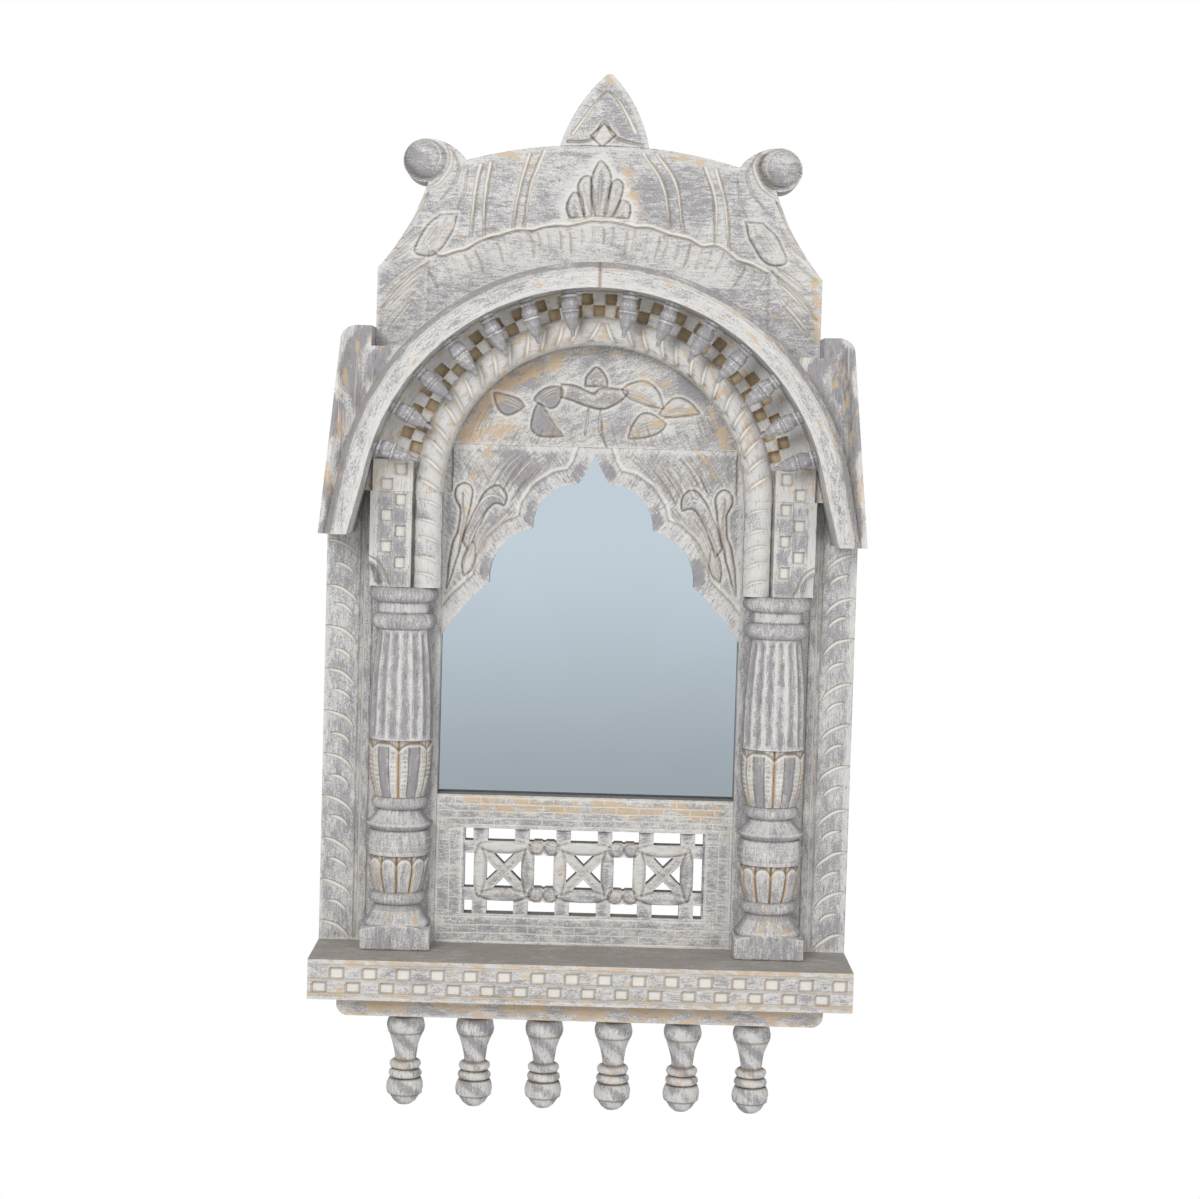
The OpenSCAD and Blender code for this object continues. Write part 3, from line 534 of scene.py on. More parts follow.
def add_mesh(name, spots, *face_sets):
    """A mesh from arrays of corners and of faces that each have one number of corners."""
    mesh = bpy.data.meshes.new(name)
    corners = np.concatenate([f.reshape(-1) for f in face_sets])
    sizes = np.concatenate([np.full(len(f), f.shape[1]) for f in face_sets])
    mesh.vertices.add(len(spots))
    mesh.vertices.foreach_set("co", np.asarray(spots, float).reshape(-1))
    mesh.loops.add(len(corners))
    mesh.loops.foreach_set("vertex_index", corners)
    mesh.polygons.add(len(sizes))
    mesh.polygons.foreach_set("loop_start", np.concatenate([[0], np.cumsum(sizes)[:-1]]))
    mesh.update(calc_edges=True)
    mesh.validate()
    return mesh


# %% Masks on a mesh, and a piece that stands for its node
def store(mesh, domain, masks):
    """Stores masks on a mesh under the names that the paints read."""
    for name, values in masks.items():
        kind, field = ("FLOAT_VECTOR", "vector") if values.ndim == 2 else ("FLOAT", "value")
        layer = mesh.attributes.new(name, kind, domain)
        layer.data.foreach_set(field, np.ascontiguousarray(values, np.float32).reshape(-1))


def stand_for(mesh, node, paint, sharp=35):
    """Finishes a piece, puts it on its body and lets it stand for its node."""
    mesh.shade_smooth()
    piece = bpy.data.objects.new(mesh.name, mesh)
    scene.collection.objects.link(piece)
    mesh.materials.clear()
    mesh.materials.append(PAINT[paint])
    mesh.set_sharp_from_angle(angle=math.radians(sharp))
    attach(piece, frame["nodes"][node]["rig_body"])
    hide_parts(node)
    print(piece.name, len(mesh.polygons), "faces")


# %% Sampling a mask at any point, and the ways of the brush
def sampled(board, values, spots):
    """Values of a grid at points, from the four cells round each."""
    u = np.clip((spots[:, 0] - board.X[0, 0]) / board.step, 0, board.X.shape[0] - 1.001)
    v = np.clip((spots[:, 2] - board.Z[0, 0]) / board.step, 0, board.X.shape[1] - 1.001)
    i, j = u.astype(int), v.astype(int)
    u, v = u - i, v - j
    return ((1 - u) * (1 - v) * values[i, j] + u * (1 - v) * values[i + 1, j]
            + (1 - u) * v * values[i, j + 1] + u * v * values[i + 1, j + 1])


def upright(X, Z):
    """Strokes that run up a board: places across and along them."""
    return X, Z


def level(X, Z):
    """Strokes that run across a board."""
    return Z, X


def slanted(angle):
    """Strokes that run at an angle to the upright, in degrees."""
    cosine, sine = math.cos(math.radians(angle)), math.sin(math.radians(angle))
    return lambda X, Z: (X * cosine - Z * sine, X * sine + Z * cosine)


def round_centre(centre_z):
    """Strokes that run round an arch."""
    return lambda X, Z: (np.hypot(X, Z - centre_z), np.arctan2(X, Z - centre_z) * 150)


# %% Cutting the board
def cut_board(board, strokes=level, paint="whitewash", side_dark=0.0, side_tone=0.0,
              side_paint=None):
    """Cuts the carved front into the plain board, stores the masks and hands the mesh over."""
    plain = bpy.data.meshes.new("plain")
    plain.from_pydata(board.solid[0].tolist(), [], board.solid[1])
    piece = bpy.data.objects.new("piece", plain)
    tool = bpy.data.objects.new("tool", add_mesh("tool", *block(board)))
    for thing in (piece, tool):
        scene.collection.objects.link(thing)
    cutter = piece.modifiers.new("carve", "BOOLEAN")
    cutter.operation = "INTERSECT"
    cutter.solver = "MANIFOLD"
    cutter.object = tool
    bpy.context.view_layer.update()
    mesh = bpy.data.meshes.new_from_object(piece.evaluated_get(bpy.context.evaluated_depsgraph_get()))
    mesh.name = board.node + "_carved"
    for thing in (piece, tool):
        bpy.data.objects.remove(thing)

    spots = array_of(mesh.vertices, "co", 3)
    sizes = array_of(mesh.polygons, "loop_total", kind=np.int32)
    facing = np.repeat(array_of(mesh.polygons, "normal", 3)[:, 1], sizes)
    at = spots[array_of(mesh.loops, "vertex_index", kind=np.int32)]
    front, back = facing < -0.02, facing > 0.5
    surface = np.where(board.known, board.front + board.depth, board.front + 9)
    relief = blurred(surface, max(2, round(2.2 / board.step))) - surface
    across, along = strokes(at[:, 0], at[:, 2])
    masks = {"brush": np.stack([np.where(front | back, across, at[:, 1]),
                                np.where(front | back, along, at[:, 0] + at[:, 2]),
                                np.full(len(at), rng.uniform(*SHIFT))], -1)}
    # Side faces get painted shade (the hollow mask) and a painted lighter tone, as much as each board sets;
    # on the front, the hollow mask is painted shade in the low spots of the relief.
    aside = {"hollow": side_dark, "tone": side_tone, "raw": back}
    for name, grid in {"cut": board.cut, "line": board.line, "tone": board.tone, "bare": board.bare,
                       "worn": np.clip(relief * 0.9, 0, 1), "hollow": np.clip(-relief * 0.8, 0, 1),
                       "raw": board.raw}.items():
        masks[name] = np.where(front, sampled(board, grid, at), aside.get(name, 0))
    store(mesh, "CORNER", masks)
    mesh.vertices.foreach_set("co", to_frame(spots).reshape(-1))
    stand_for(mesh, board.node, paint)
    if side_paint:
        mesh.materials.append(PAINT[side_paint])
        first_corners = np.concatenate([[0], np.cumsum(sizes)[:-1]])
        mesh.polygons.foreach_set("material_index", (~front[first_corners]).astype(np.int32))
    return mesh


def carve_pair(carve, name):
    """Carves a left and a right board."""
    for side in ("left_", "right_"):
        carve(side + name)


# %% [markdown]
# The two wing boards of the frame have slanted crescents down their outer edge. Each is one
# push of a gouge that starts level and turns down, long and short in turn. Beside them runs a
# narrow fillet of double lines, which hides where the turned columns meet the board.

# %% Wing boards with crescent cuts
def carve_stile(node):
    board = Carving(node, step=0.8)
    for n, z in enumerate(np.arange(16, FRAME_TOP - 40, 19.0)):
        start, stop = (7, 24) if n % 2 else (0.5, 28)
        z += rng.uniform(-1.5, 1.5)
        outer, inner = HALF_FRAME - start, HALF_FRAME - stop
        fall = 17 * (stop - start) / 28
        board.gouge(curve((outer, z), (0.55 * outer + 0.45 * inner, z - 0.18 * fall),
                          (0.2 * outer + 0.8 * inner, z - 0.55 * fall), (inner, z - fall)),
                    3.6, 1.7, brown=0.6, lean=-0.8 * board.turn[0])
    for inset, *style in ((30.5, 1.4, 0.9, 0.3), (34, 1.6, 0.7, 0.9), (41.5, 1.6, 1.0, 0.2)):
        board.gouge([(HALF_FRAME - inset, z) for z in np.arange(2, FRAME_TOP, 12)], *style, 0.5, "none")
    cut_board(board, upright)


carve_pair(carve_stile, "stile")

# %% [markdown]
# The jali is the pierced screen under the glass. Its borders are scratched into rows of
# bricks, and the bars of the lattice are rounded over, with a pointed lens across each one.

# %% Rows of bricks
def bricks(board, low, high, rows, course, flip=False):
    """Rows of bricks between two corners, with cream joints."""
    (x0, z0), (x1, z1) = (low[::-1], high[::-1]) if flip else (low, high)
    tall = (z1 - z0) / rows

    def joint(*points):
        board.gouge([p[::-1] for p in points] if flip else points, 1.3, 0.8, 0.9, taper="none")

    for row in range(rows):
        z = z0 + row * tall
        joint(*[(x, z) for x in np.linspace(x0, x1, 12)])
        for x in np.arange(x0 + (0.25 + 0.5 * (row % 2)) * course, x1 - 3, course):
            x += rng.uniform(-1.5, 1.5)
            joint((x, z), (x, z + tall))
    joint(*[(x, z0 + rows * tall) for x in np.linspace(x0, x1, 12)])


# %% Pierced panel with brick borders
JALI_PITCH = 71.5                 # from the middle of one cross to the next


def carve_jali():
    board = Carving("jali_panel")
    edge, side, low_z, high_z = HALF_OPEN - 1, 26, 27, JALI_TOP - 30
    middle = (low_z + high_z) / 2
    bricks(board, (-edge, 2), (edge, low_z - 3), 3, 22)
    bricks(board, (-edge, high_z + 3), (edge, JALI_TOP - 2), 4, 22)
    for x0, x1 in ((-105, -40), (-60, -8), (12, 66), (80, 118)):
        board.rub([(x0, JALI_TOP - 6), ((x0 + x1) / 2, JALI_TOP - 12), (x1, JALI_TOP - 10)], 10, 1.1)
    for s in (-1, 1):
        x0, x1 = sorted((s * (edge - 1), s * (edge - side + 4)))
        bricks(board, (x0, low_z - 2), (x1, high_z + 3), 2, 21, flip=True)
    board.depth += 2.6 * ((np.abs(board.X) < edge - side + 2) & (np.abs(board.Z - middle) < 38))

    def placed(line, angle, x):
        return np.stack(slanted(angle)(*np.array(line, float).T), -1) + (x, middle)

    for x in (-JALI_PITCH, 0, JALI_PITCH):
        for angle, shift in product((45, 135), (-2.6, 2.6)):
            board.gouge(placed([(-24, shift), (24, shift)], angle, x), 1.5, 0.7, 0.8, 0.2)
        # Painted light: the top and left lenses of each cross get a lighter tone, and the bottom and right
        # ones a darker tone, as if lit from the upper left.
        for angle in (0, 90, 180, 270):
            lens = leaf((-25, 22), (25, 22), 12.5, 0, 0.5)
            board.raise_leaf(placed(lens, angle, x), 2.6, 4, 0.6, 0.4, tone=-0.6 if angle > 90 else 1.6)
    lobe = ring_point(1, np.arange(0, 360, 24), 0) * (6.6, 6.4)
    for i, t, q in product((-0.5, 0.5), (-1, 1), (-1, 1)):
        board.raise_leaf(lobe + (JALI_PITCH * i + q * 6.8, middle + t * 21.3), 2.6, 5, 0.8, 0.5)
    # The sides of the openings get full painted shade.
    cut_board(board, level, "tan_wash", side_dark=1.0)


carve_jali()

# %% [markdown]
# The cusped panels and the one above them are carved as one picture: stems sweep up from the
# springing of the arch, end in curled heads, and grow into leaves that meet at a bud. A band
# along the cusps is cut back. The left side is the right side turned over, cut by eye.

# %% Cusped panels with stems and curled heads
CUSPS = np.array([(x, SEAM_Z - 4 - drop) for x, drop in (
    (133, 167), (114.5, 141), (91.4, 118.6), (89.2, 100.8), (82.2, 86.7), (70.4, 76.2), (53.9, 69.3),
    (50.5, 53), (42.8, 40.8), (30.9, 32.9), (14.6, 29.2), (6, 15.3), (0.5, 0))])


def carve_spandrel(node):
    board = Carving(node, ground=2.4)
    away, along, _ = distance_to(CUSPS, board.out, board.Z)
    band = np.clip((15 - away) / 2.5, 0, 1)
    board.depth += 0.9 * band + 2.0 * np.clip((10 - away) / 10, 0, 1)
    board.line += 0.75 * bell(away - 14.4, 0.7)
    board.cut += 0.85 * bell(away - 17, 1.7)
    tips = bell(along[..., None] - (0.33, 0.62, 0.9), 0.05).sum(-1)
    board.tone += band * (0.8 - 2.4 * tips * np.clip((12 - away) / 4, 0, 1))
    shade = bell(np.hypot((board.out - 62 - 0.6 * (board.Z - 425)) / 0.9, board.Z - 425), 17)
    board.tone -= (1.8 if node.startswith("left") else 0.4) * shade
    board.between(curve((119, 322), (114, 345), (108, 366), (98, 384), (88, 398)),
                  curve((106, 332), (97, 352), (88, 371), (75, 382), (64, 395)), 8)
    board.between(curve((124, 412), (115, 432), (103, SEAM_Z)), curve((62, 404), (46, 426), (28, 441)), 17)
    board.between(curve((104, 404), (98, 418), (90, 432)), curve((74, 398), (64, 414), (52, 428)), 7,
                  (0, 0.4), (0.3, 0.8))
    board.raise_leaf(curve((129.5, 318), (128, 338), (124.5, 358), (120, 371), (118.5, 384), (119, 391),
                           (122.5, 398), (123.5, 404), (121, 410), (114.8, 412), (109.7, 408),
                           (108.3, 401), (111, 385), (114, 371), (119, 350), (125, 330)), 2.2, 4, tone=0.5)
    board.gouge(curve((116, 405), (116.4, 395), (115, 380), (119, 351)), 1.4, 0.9, 0.4, 0.8)
    board.raise_leaf(curve((116, 360), (112, 375), (104.3, 391), (99.5, 401), (92.3, 409.4), (84.8, 411),
                           (79, 405.4), (77.7, 399), (79.4, 393), (84, 394.5), (89.4, 394), (96, 386),
                           (103, 372), (110, 352)), 2.2, 5)
    board.gouge(curve((111, 372), (104, 389), (97, 399), (90, 402), (83, 400), (80.7, 395)),
                2.0, 1.0, 1.0, 0.2)
    board.gouge(curve((115, 338), (112, 351), (107, 366), (98, 384), (92, 391)), 1.8, 1.0, 1.0, 0.4)
    board.raise_leaf(curve((114.6, 330), (115.5, 341), (112, 353), (106, 360), (104.5, 345), (107, 335)),
                     2.2, 4, tone=1.2)
    board.gouge([(126.5, z) for z in np.arange(405, SEAM_Z + 5, 10)], 1.6, 1.2, 0.1, 0.7)
    board.rub(curve((108, 418), (100, 434), (91, 447)), 6, 1.0)
    board.rub(curve((114, 388), (112, 398), (115, 406)), 4, 0.7)
    cut_board(board, slanted(35 * board.turn[0]), side_dark=0.35)


carve_pair(carve_spandrel, "spandrel")


# %% Upper panel with the bud and its leaves
def carve_tympanum():
    board = Carving("tympanum", ground=2.4)
    board.raise_leaf(curve((-11, 501), (-10, 509), (-5, 515), (-1, 518), (5, 514), (9, 507), (9, 501)),
                     2.0, 4)
    for bend in (-3, 3):
        board.gouge(curve((bend, 502), (bend * 1.6, 508), (0, 514)), 1.4, 0.8, 0.6, 0.6)
    board.raise_leaf(curve((-31, 502), (-18, 501), (-4, 495), (2, 499), (11, 500), (27, 498), (22, 490),
                           (12, 483), (3, 481), (-7, 483), (-18, 487), (-32, 491)), 2.2, 5)
    for x in (-22, -12, -3, 6, 15):
        board.gouge(curve((x, 496), (x + 3, 491), (x + 8, 487)), 1.2, 0.7, 0.6, 0.5)
    for _ in board.both_sides():
        board.between(curve((103, SEAM_Z - 1), (98, 456), (92, 466)),
                      curve((22, SEAM_Z - 1), (18, 454), (14, 470)), 16)
        board.between(curve((112, 452), (106, 470), (96, 486)), curve((96, 456), (92, 468), (88, 478)), 5,
                      (0, 0.6), (0.2, 0.7))
    for shape, (x0, z0), (x1, z1) in (
            (((-30, 497), (-56, 488), 19, 3), (-33, 499), (-50, 489)),
            (((-52, 485), (-29, 456), 19, -9), (-50, 482), (-32, 462)),
            (((-64, 482), (-92, 493), 17, 5), (-62, 480), (-86, 490)),
            (((22, 499), (60, 483), 20, 6), (26, 498), (54, 485)),
            (((56, 478), (92, 480), 17, 6), (60, 479), (86, 481)),
            (((62, 470), (29, 456), 21, -5), (58, 470), (34, 462))):
        board.raise_leaf(leaf(*shape), 2.3, 5, 1.0, 0.6, tone=-2.2 if x0 < 0 else 0.5)
        if x0 > 0:
            board.rub([(x0, z0), (x1, z1)], 9, 0.8)
        for shift in (-4.5, -1.5, 1.5):
            board.gouge(curve((x0, z0 + shift), ((x0 + x1) / 2, (z0 + z1) / 2 + shift + 1.5),
                              (x1, z1 + shift)), 1.5, 0.8, rng.uniform(0.4, 0.9), 0.4)
    for x in (-7, 4):
        board.gouge(curve((x, 482), (x - 1, 468), (x * 1.3, 457)), 2.0, 1.2, 0.7, 0.7)
    board.gouge(curve((5, 470), (6, 458), (10, SEAM_Z)), 1.6, 1.2, 0.3, 0.8)
    for radius, angles, width, amount in ((125, (-18, -36, -54, -68), 15, 1.1), (127, (52, 60, 68), 9, 1.0),
                                          (128, (-14, 0, 12), 6, 0.9)):
        board.rub(curve(*ring_point(radius, angles, RING_Z)), width, amount)
    board.rub(curve((-75, 462), (-96, 458), (-112, 452)), 13, 0.9)
    board.rub(curve((40, 510), (70, 502)), 9, 0.7)
    board.rub(curve((30, 494), (52, 486)), 7, 0.6)
    board.tone -= (2.2 * bell(np.hypot((board.X - 88) / 1.2, board.Z - 502), 11)
                   + 0.9 * bell(np.hypot((board.X + 70) / 2.4, board.Z - 508), 12))
    cut_board(board, slanted(70), "tan_wash")


carve_tympanum()

# %% [markdown]
# The half ring over the columns carries a rope, cut into lobes by short strokes, and two
# staggered rows of square holes left bare inside. Strokes of the brush follow the arch, so
# the ring stores its streaks round the centre.

# %% Ring with rope and square holes
def carve_ring():
    board = Carving("arch_ring", step=0.65)
    radius = np.hypot(board.X, board.Z - RING_Z)
    checkered = radius > CHECKER_R
    feet = (board.Z < RING_Z + 28.5) & (np.abs(board.X) > 158.5) & (board.front < RING_FRONT - 2)
    holes = board.known & checkered & (board.front > RING_FRONT + 3) & ~feet
    board.paint_holes(holes)
    board.cut[holes] = 0.2
    board.raw = 0.75 * holes
    # Painted light: the ring's checkered field and its rope are painted lighter to make up for the canopy's
    # shade over them.
    board.tone += np.where(checkered, 1.6, 2.6)
    board.bare += np.where(checkered, 0.3, 0.35)
    board.paint_holes(feet & (np.abs(board.front - RING_FRONT + NICK) < 0.7))
    for n, angle in enumerate(np.arange(-87, 88, 6.1)):
        angle += rng.uniform(-0.7, 0.7)
        lean = 1.9 if angle > 0 else -1.9
        stroke = curve(*[ring_point(ROPE_X + r, angle + turn * lean, RING_Z)
                         for r, turn in ((-9, 1), (0, -0.3), (8, -1))])
        part, away, *_ = board.near(stroke, 12)
        board.depth[part] += 2.0 * bell(away, 3.2)
        at_least(board.line, 0.35 * bell(away - 1.9, 1.0), part)
        board.gouge(stroke, 3.0, 1.2, 1.3, 0.5)
        x, z = ring_point(ROPE_X, angle + 3, RING_Z)
        board.tone += np.exp(-np.hypot(board.X - x, board.Z - z) ** 2 / 40) * (0.9 if n % 2 else -0.7)
    board.gouge(ring_point(ROPE_X + 12.5, np.arange(-80, 81, 4), RING_Z), 1.8, 0.7, 0.6, 0.1, "none")
    board.rub(ring_point(ROPE_X + 20, (-9, -2, 8), RING_Z), 9, 0.9)
    cut_board(board, round_centre(RING_Z), "tan_wash", side_dark=0.1, side_tone=1.0)


carve_ring()


# %% Pilasters with checkers, rope and scoops
def carve_pilaster(node):
    board = Carving(node)
    low, high = board.low[2], board.high[2]
    checkered = board.out > CHECKER_X
    board.paint_holes(checkered & (np.abs(board.front - RING_FRONT + NICK) < 0.6) & (board.Z > low + 6))
    board.tone += 0.9 - 1.3 * checkered * (board.out < 189)
    for n, z in enumerate(np.arange(low + 12, high + 4, 15.5)):
        z += rng.uniform(-1.5, 1.5)
        stroke = curve((ROPE_X - 11, z - 5), (ROPE_X - 3, z - 0.5), (ROPE_X + 8, z + 2))
        board.depth += 1.6 * bell(distance_to(stroke, board.out, board.Z)[0], 3.2) * ~checkered
        board.gouge(stroke, 2.8, 1.2, 1.0, 0.4)
        board.tone[(np.abs(board.Z - z - 8) < 7) & ~checkered] += 0.6 * (-1) ** n
    for x, cream in ((158.5, 0.6), (176.3, 0.4)):
        board.gouge([(x, z) for z in np.arange(low, high + 8, 8)], 1.5, 0.8, cream, 0.2, "none")
    board.gouge(curve((196, low + 27), (188, low + 22), (182, low + 12), (177, low + 1)), 1.3, 0.8, 0.3, 0.9)
    cut_board(board, upright, side_dark=0.3)


carve_pair(carve_pilaster, "pilaster")

# %% [markdown]
# The canopy is a thick arched band in two halves. Its front edge was rubbed hardest and shows
# white over tan, its outer corner is cut back to a bevel that is painted darker as shade, and
# its underside, which lies in shade, gets a little painted shade and more painted light. The
# shoulders beside it were only washed grey.


# %% Canopy halves and shoulders
def carve_hood(node):
    board = Carving(node, uneven=0.5)
    edge = [*ring_point(HOOD_OUT_R, np.arange(0, 81, 4), HOOD_Z), (HOOD_CORNER_X, HOOD_FOOT)]
    away = distance_to(edge, board.out, board.Z)[0]
    # Painted shade: the bevel gets a darker tone and a brown line along its edge, for the shade it lies in.
    bevel = np.clip((6.5 - away) / 2, 0, 1)
    board.depth += 6 * np.clip((6.5 - away) / 6.5, 0, 1) ** 1.4 + 1.2 * bell(board.X, 0.9)
    board.tone += 0.5 - 1.9 * bevel
    board.bare += 0.2
    board.line += 0.2 * bevel + 0.5 * bell(away - 7, 0.7) + 0.8 * bell(board.X, 1.6)
    for start in range(1, 76, 9):
        inset, length = rng.uniform(10, 19), rng.uniform(4, 12)
        board.rub(ring_point(HOOD_OUT_R - inset, (start, start + length), HOOD_Z),
                  rng.uniform(4, 8), rng.uniform(0.2, 0.75))
    cut_board(board, round_centre(HOOD_Z), side_dark=0.3, side_tone=0.6)


def carve_shoulder(node):
    board = Carving(node, step=0.7, uneven=1.0)
    for x, z in ((215, 498), (219, 460), (228, 415), (205, 520)):
        board.rub([(x, z - 12), (x + 2, z + 12)], rng.uniform(3, 6), 0.8)
    for _ in range(26):
        x, z = rng.uniform(192, 236), rng.uniform(HOOD_FOOT, FRAME_TOP - 20)
        board.gouge([(x, z), (x - 1, z + rng.uniform(12, 50))], rng.uniform(0.8, 1.6), 0.5,
                    rng.uniform(0, 0.8), rng.uniform(0, 0.5))
    board.tone += 0.9 * (board.out > 0.093 * (FRAME_TOP - board.Z) + 215)
    board.tone += 2.0 * np.sin(board.X / 4 + 2 * np.sin(board.Z / 13)) - 1.7
    board.bare += 0.25
    cut_board(board, upright, "whitewash", side_dark=0.2)


for side in ("left_", "right_"):
    carve_hood(side + "hood")
    carve_shoulder(side + "shoulder")

# %% [markdown]
# The crown reads as a bulging dome: pairs of curved grooves run down it like the ribs of a
# pumpkin, a palmette stands in the middle, and a wavy hem with short strokes follows the
# canopy. Long leaves fill both corners and curl into the scroll balls.

# %% Ribs and palmette
RIBS = (((-108, 692), (-112, 668), (-115, 628)), ((-99, 694), (-103, 665), (-104, 630)),
        ((-65, 703), (-73, 673), (-78, 637)), ((-52, 706), (-63, 673), (-67, 638)),
        ((35, 706), (52, 680), (60, 640)), ((47, 706), (64, 680), (71, 637)),
        ((90, 696), (99, 668), (101, 628)), ((99, 694), (108, 661), (112, 622)))
PALMETTE = (
    curve((-6, 649), (-9.5, 668), (-9.6, 684), (-2.3, 699), (7.4, 685), (6, 668), (2, 649)),
    curve((-14.6, 648), (-19.5, 664), (-21.5, 676), (-17.9, 684), (-10.6, 684), (-9.5, 668), (-8.6, 649)),
    curve((3, 649), (6, 664), (7.5, 677), (13, 683), (18, 678), (16.5, 666), (9.5, 649)),
    curve((-28.5, 647), (-31, 657), (-25.5, 670), (-18.5, 665), (-15.5, 648)),
    curve((10.5, 649), (14, 658), (17, 665), (23.5, 662), (25, 655), (24, 648)))


print(len(RIBS), "ribs and", len(PALMETTE), "leaves in the palmette")


# %% Crown
def carve_crown():
    board = Carving("crown_panel", step=0.8, uneven=0.5, ground=1.8)
    hem = curve((-147, 616), (-139, 610), (-120, 617), (-107, 623), (-93, 629), (-74, 634), (-54, 637),
                (-34, 640), (-17, 642), (-2, 645), (20, 642), (40, 640), (74, 631), (88, 626), (104, 624),
                (120, 615), (146, 604))
    hem[:, 1] += 1.8 * np.abs(np.sin(hem[:, 0] / 9.5))
    below = board.Z <= np.interp(board.X, hem[:, 0], hem[:, 1])
    board.gouge(hem + (0, 1.4), 3.2, 0.9, 1.0, 0.0, "none")
    # Painted shadow: a brown line just under the step down to the lowered hem.
    board.gouge(hem - (0, 1.0), 1.2, 1.0, 0.0, 1.0, "none")
    board.depth += 1.3 * blurred((below & (np.abs(board.X) < 150)).astype(float), 1)
    board.tone += 0.6 * below * (board.Z > 590) * (board.X > -150)
    for x in np.arange(-178, 180, 9.5):
        top = np.interp(x, hem[:, 0], hem[:, 1]) - 5 if abs(x) < 147 else 600 - (abs(x) - 147) * 1.1
        way = np.array([x * 0.9, top - HOOD_Z]) / math.hypot(x * 0.9, top - HOOD_Z)
        start = np.array([x, top]) + rng.uniform(-2, 2, 2)
        board.gouge(curve(start, start - way * 7 + (1, 0), start - way * rng.uniform(13, 21)),
                    rng.uniform(1.4, 2.4), 0.9, rng.uniform(0.2, 1.0), rng.uniform(0.2, 0.9))
    for rib in RIBS:
        board.gouge(curve(*rib), 3.8, 1.7, 1.0, 0.35, "end")
        board.gouge(curve(*rib) + (rng.choice((-2, 2)), 0), 1.1, 0.5, 0.0, 0.9)
    away = np.min([distance_to(outline, board.X, board.Z)[0] for outline in PALMETTE], 0)
    board.depth += 1.2 * bell(away, 6)
    board.tone += 2.0 * bell(away - 3, 3.5)
    for outline in PALMETTE[::-1]:
        board.raise_leaf(outline, 2.9, 5, 1.1, 0.35, tone=-1.8)
    for x0, x1, top in ((-2, -2, 690), (-6, -9, 676), (2, 5, 676), (-10, -17, 677), (7, 14, 675),
                        (-15, -25, 664), (13, 20, 661)):
        board.gouge(curve((x0, 651), (x1, top)), 1.5, 0.8, 0.7, 0.5)
    board.gouge(curve((-31, 646), (-20, 644), (-2, 649), (12, 644), (25, 646)), 2.4, 1.2, 1.0, 0.4)
    for s in board.both_sides():
        carve_corner(board, s)
    for line, width, amount in (
            (((188, 600), (190, 575), (191, 545)), 7, 1.0), (((20, 690), (28, 670), (34, 655)), 11, 1.0),
            (((-94, 706), (-76, 698), (-64, 692)), 8, 0.9), (((58, 704), (86, 700)), 6, 0.8),
            (((-134, 640), (-122, 622), (-108, 616)), 5, 0.8), (((-118, 566), (-160, 544)), 4, 0.6),
            (((118, 586), (160, 564)), 4, 0.6)):
        board.rub(line, width, amount)
    board.tone -= 0.7 * bell(np.hypot((board.X - 60) / 1.6, board.Z - 672), 26)
    cut_board(board)


# %% Corners of the crown
def carve_corner(board, s):
    """Leaves between the crown's corner and its scroll ball."""
    wide = (1.8, 3.2)
    board.between(curve((191, 618), (170, 640), (152, 668)), curve((191, 598), (172, 612), (158, 622)), 5,
                  (0.5, 1.0), (0.3, 0.9), wide)
    board.between(curve((191, 580), (170, 598), (150, 612)), curve((191, 536), (176, 556), (156, 580)), 6,
                  (0.5, 1.0), (0.3, 0.9), wide)
    board.raise_leaf(curve((126, 648), (131, 632), (146, 612), (163, 614), (154, 635), (141, 647)),
                     2.6, 6, 1.0, 0.45, tone=0.4)
    board.between(curve((132, 645), (140, 628), (151, 615)), curve((140, 644), (150, 632), (158, 618)), 4,
                  (0.5, 1.0), (0.3, 0.7))
    board.gouge(curve((152, 667), (169, 638), (191, 606)), 3.0, 1.5, 0.9, 0.8)
    board.gouge(curve((150, 606), (170, 587), (191, 564)), 3.0, 1.5, 0.9, 0.8)
    board.gouge(curve((139, 712), (133, 699), (137, 684), (149, 672), (158, 672)), 4.2, 2.4, 0.9, 0.5)
    board.gouge(curve((133, 704), (127, 690), (131, 674), (142, 660)), 2.2, 1.2, 0.5, 0.6)
    board.gouge(curve((118, 688), (121, 668), (127, 652)), 2.2, 1.2, 0.5, 0.6)
    ball = np.hypot(s * board.X - 156, board.Z - 695) < 18
    board.tone -= 0.6 * ball
    board.depth -= 1.2 * ball
    board.gouge(curve((168, 706), (160, 712), (148, 708), (143, 696), (148, 685)), 2.6, 1.2, 0.7, 0.4)
    board.rub([(165, 686), (168, 692)], 7, 0.4 + 0.4 * s)


carve_crown()


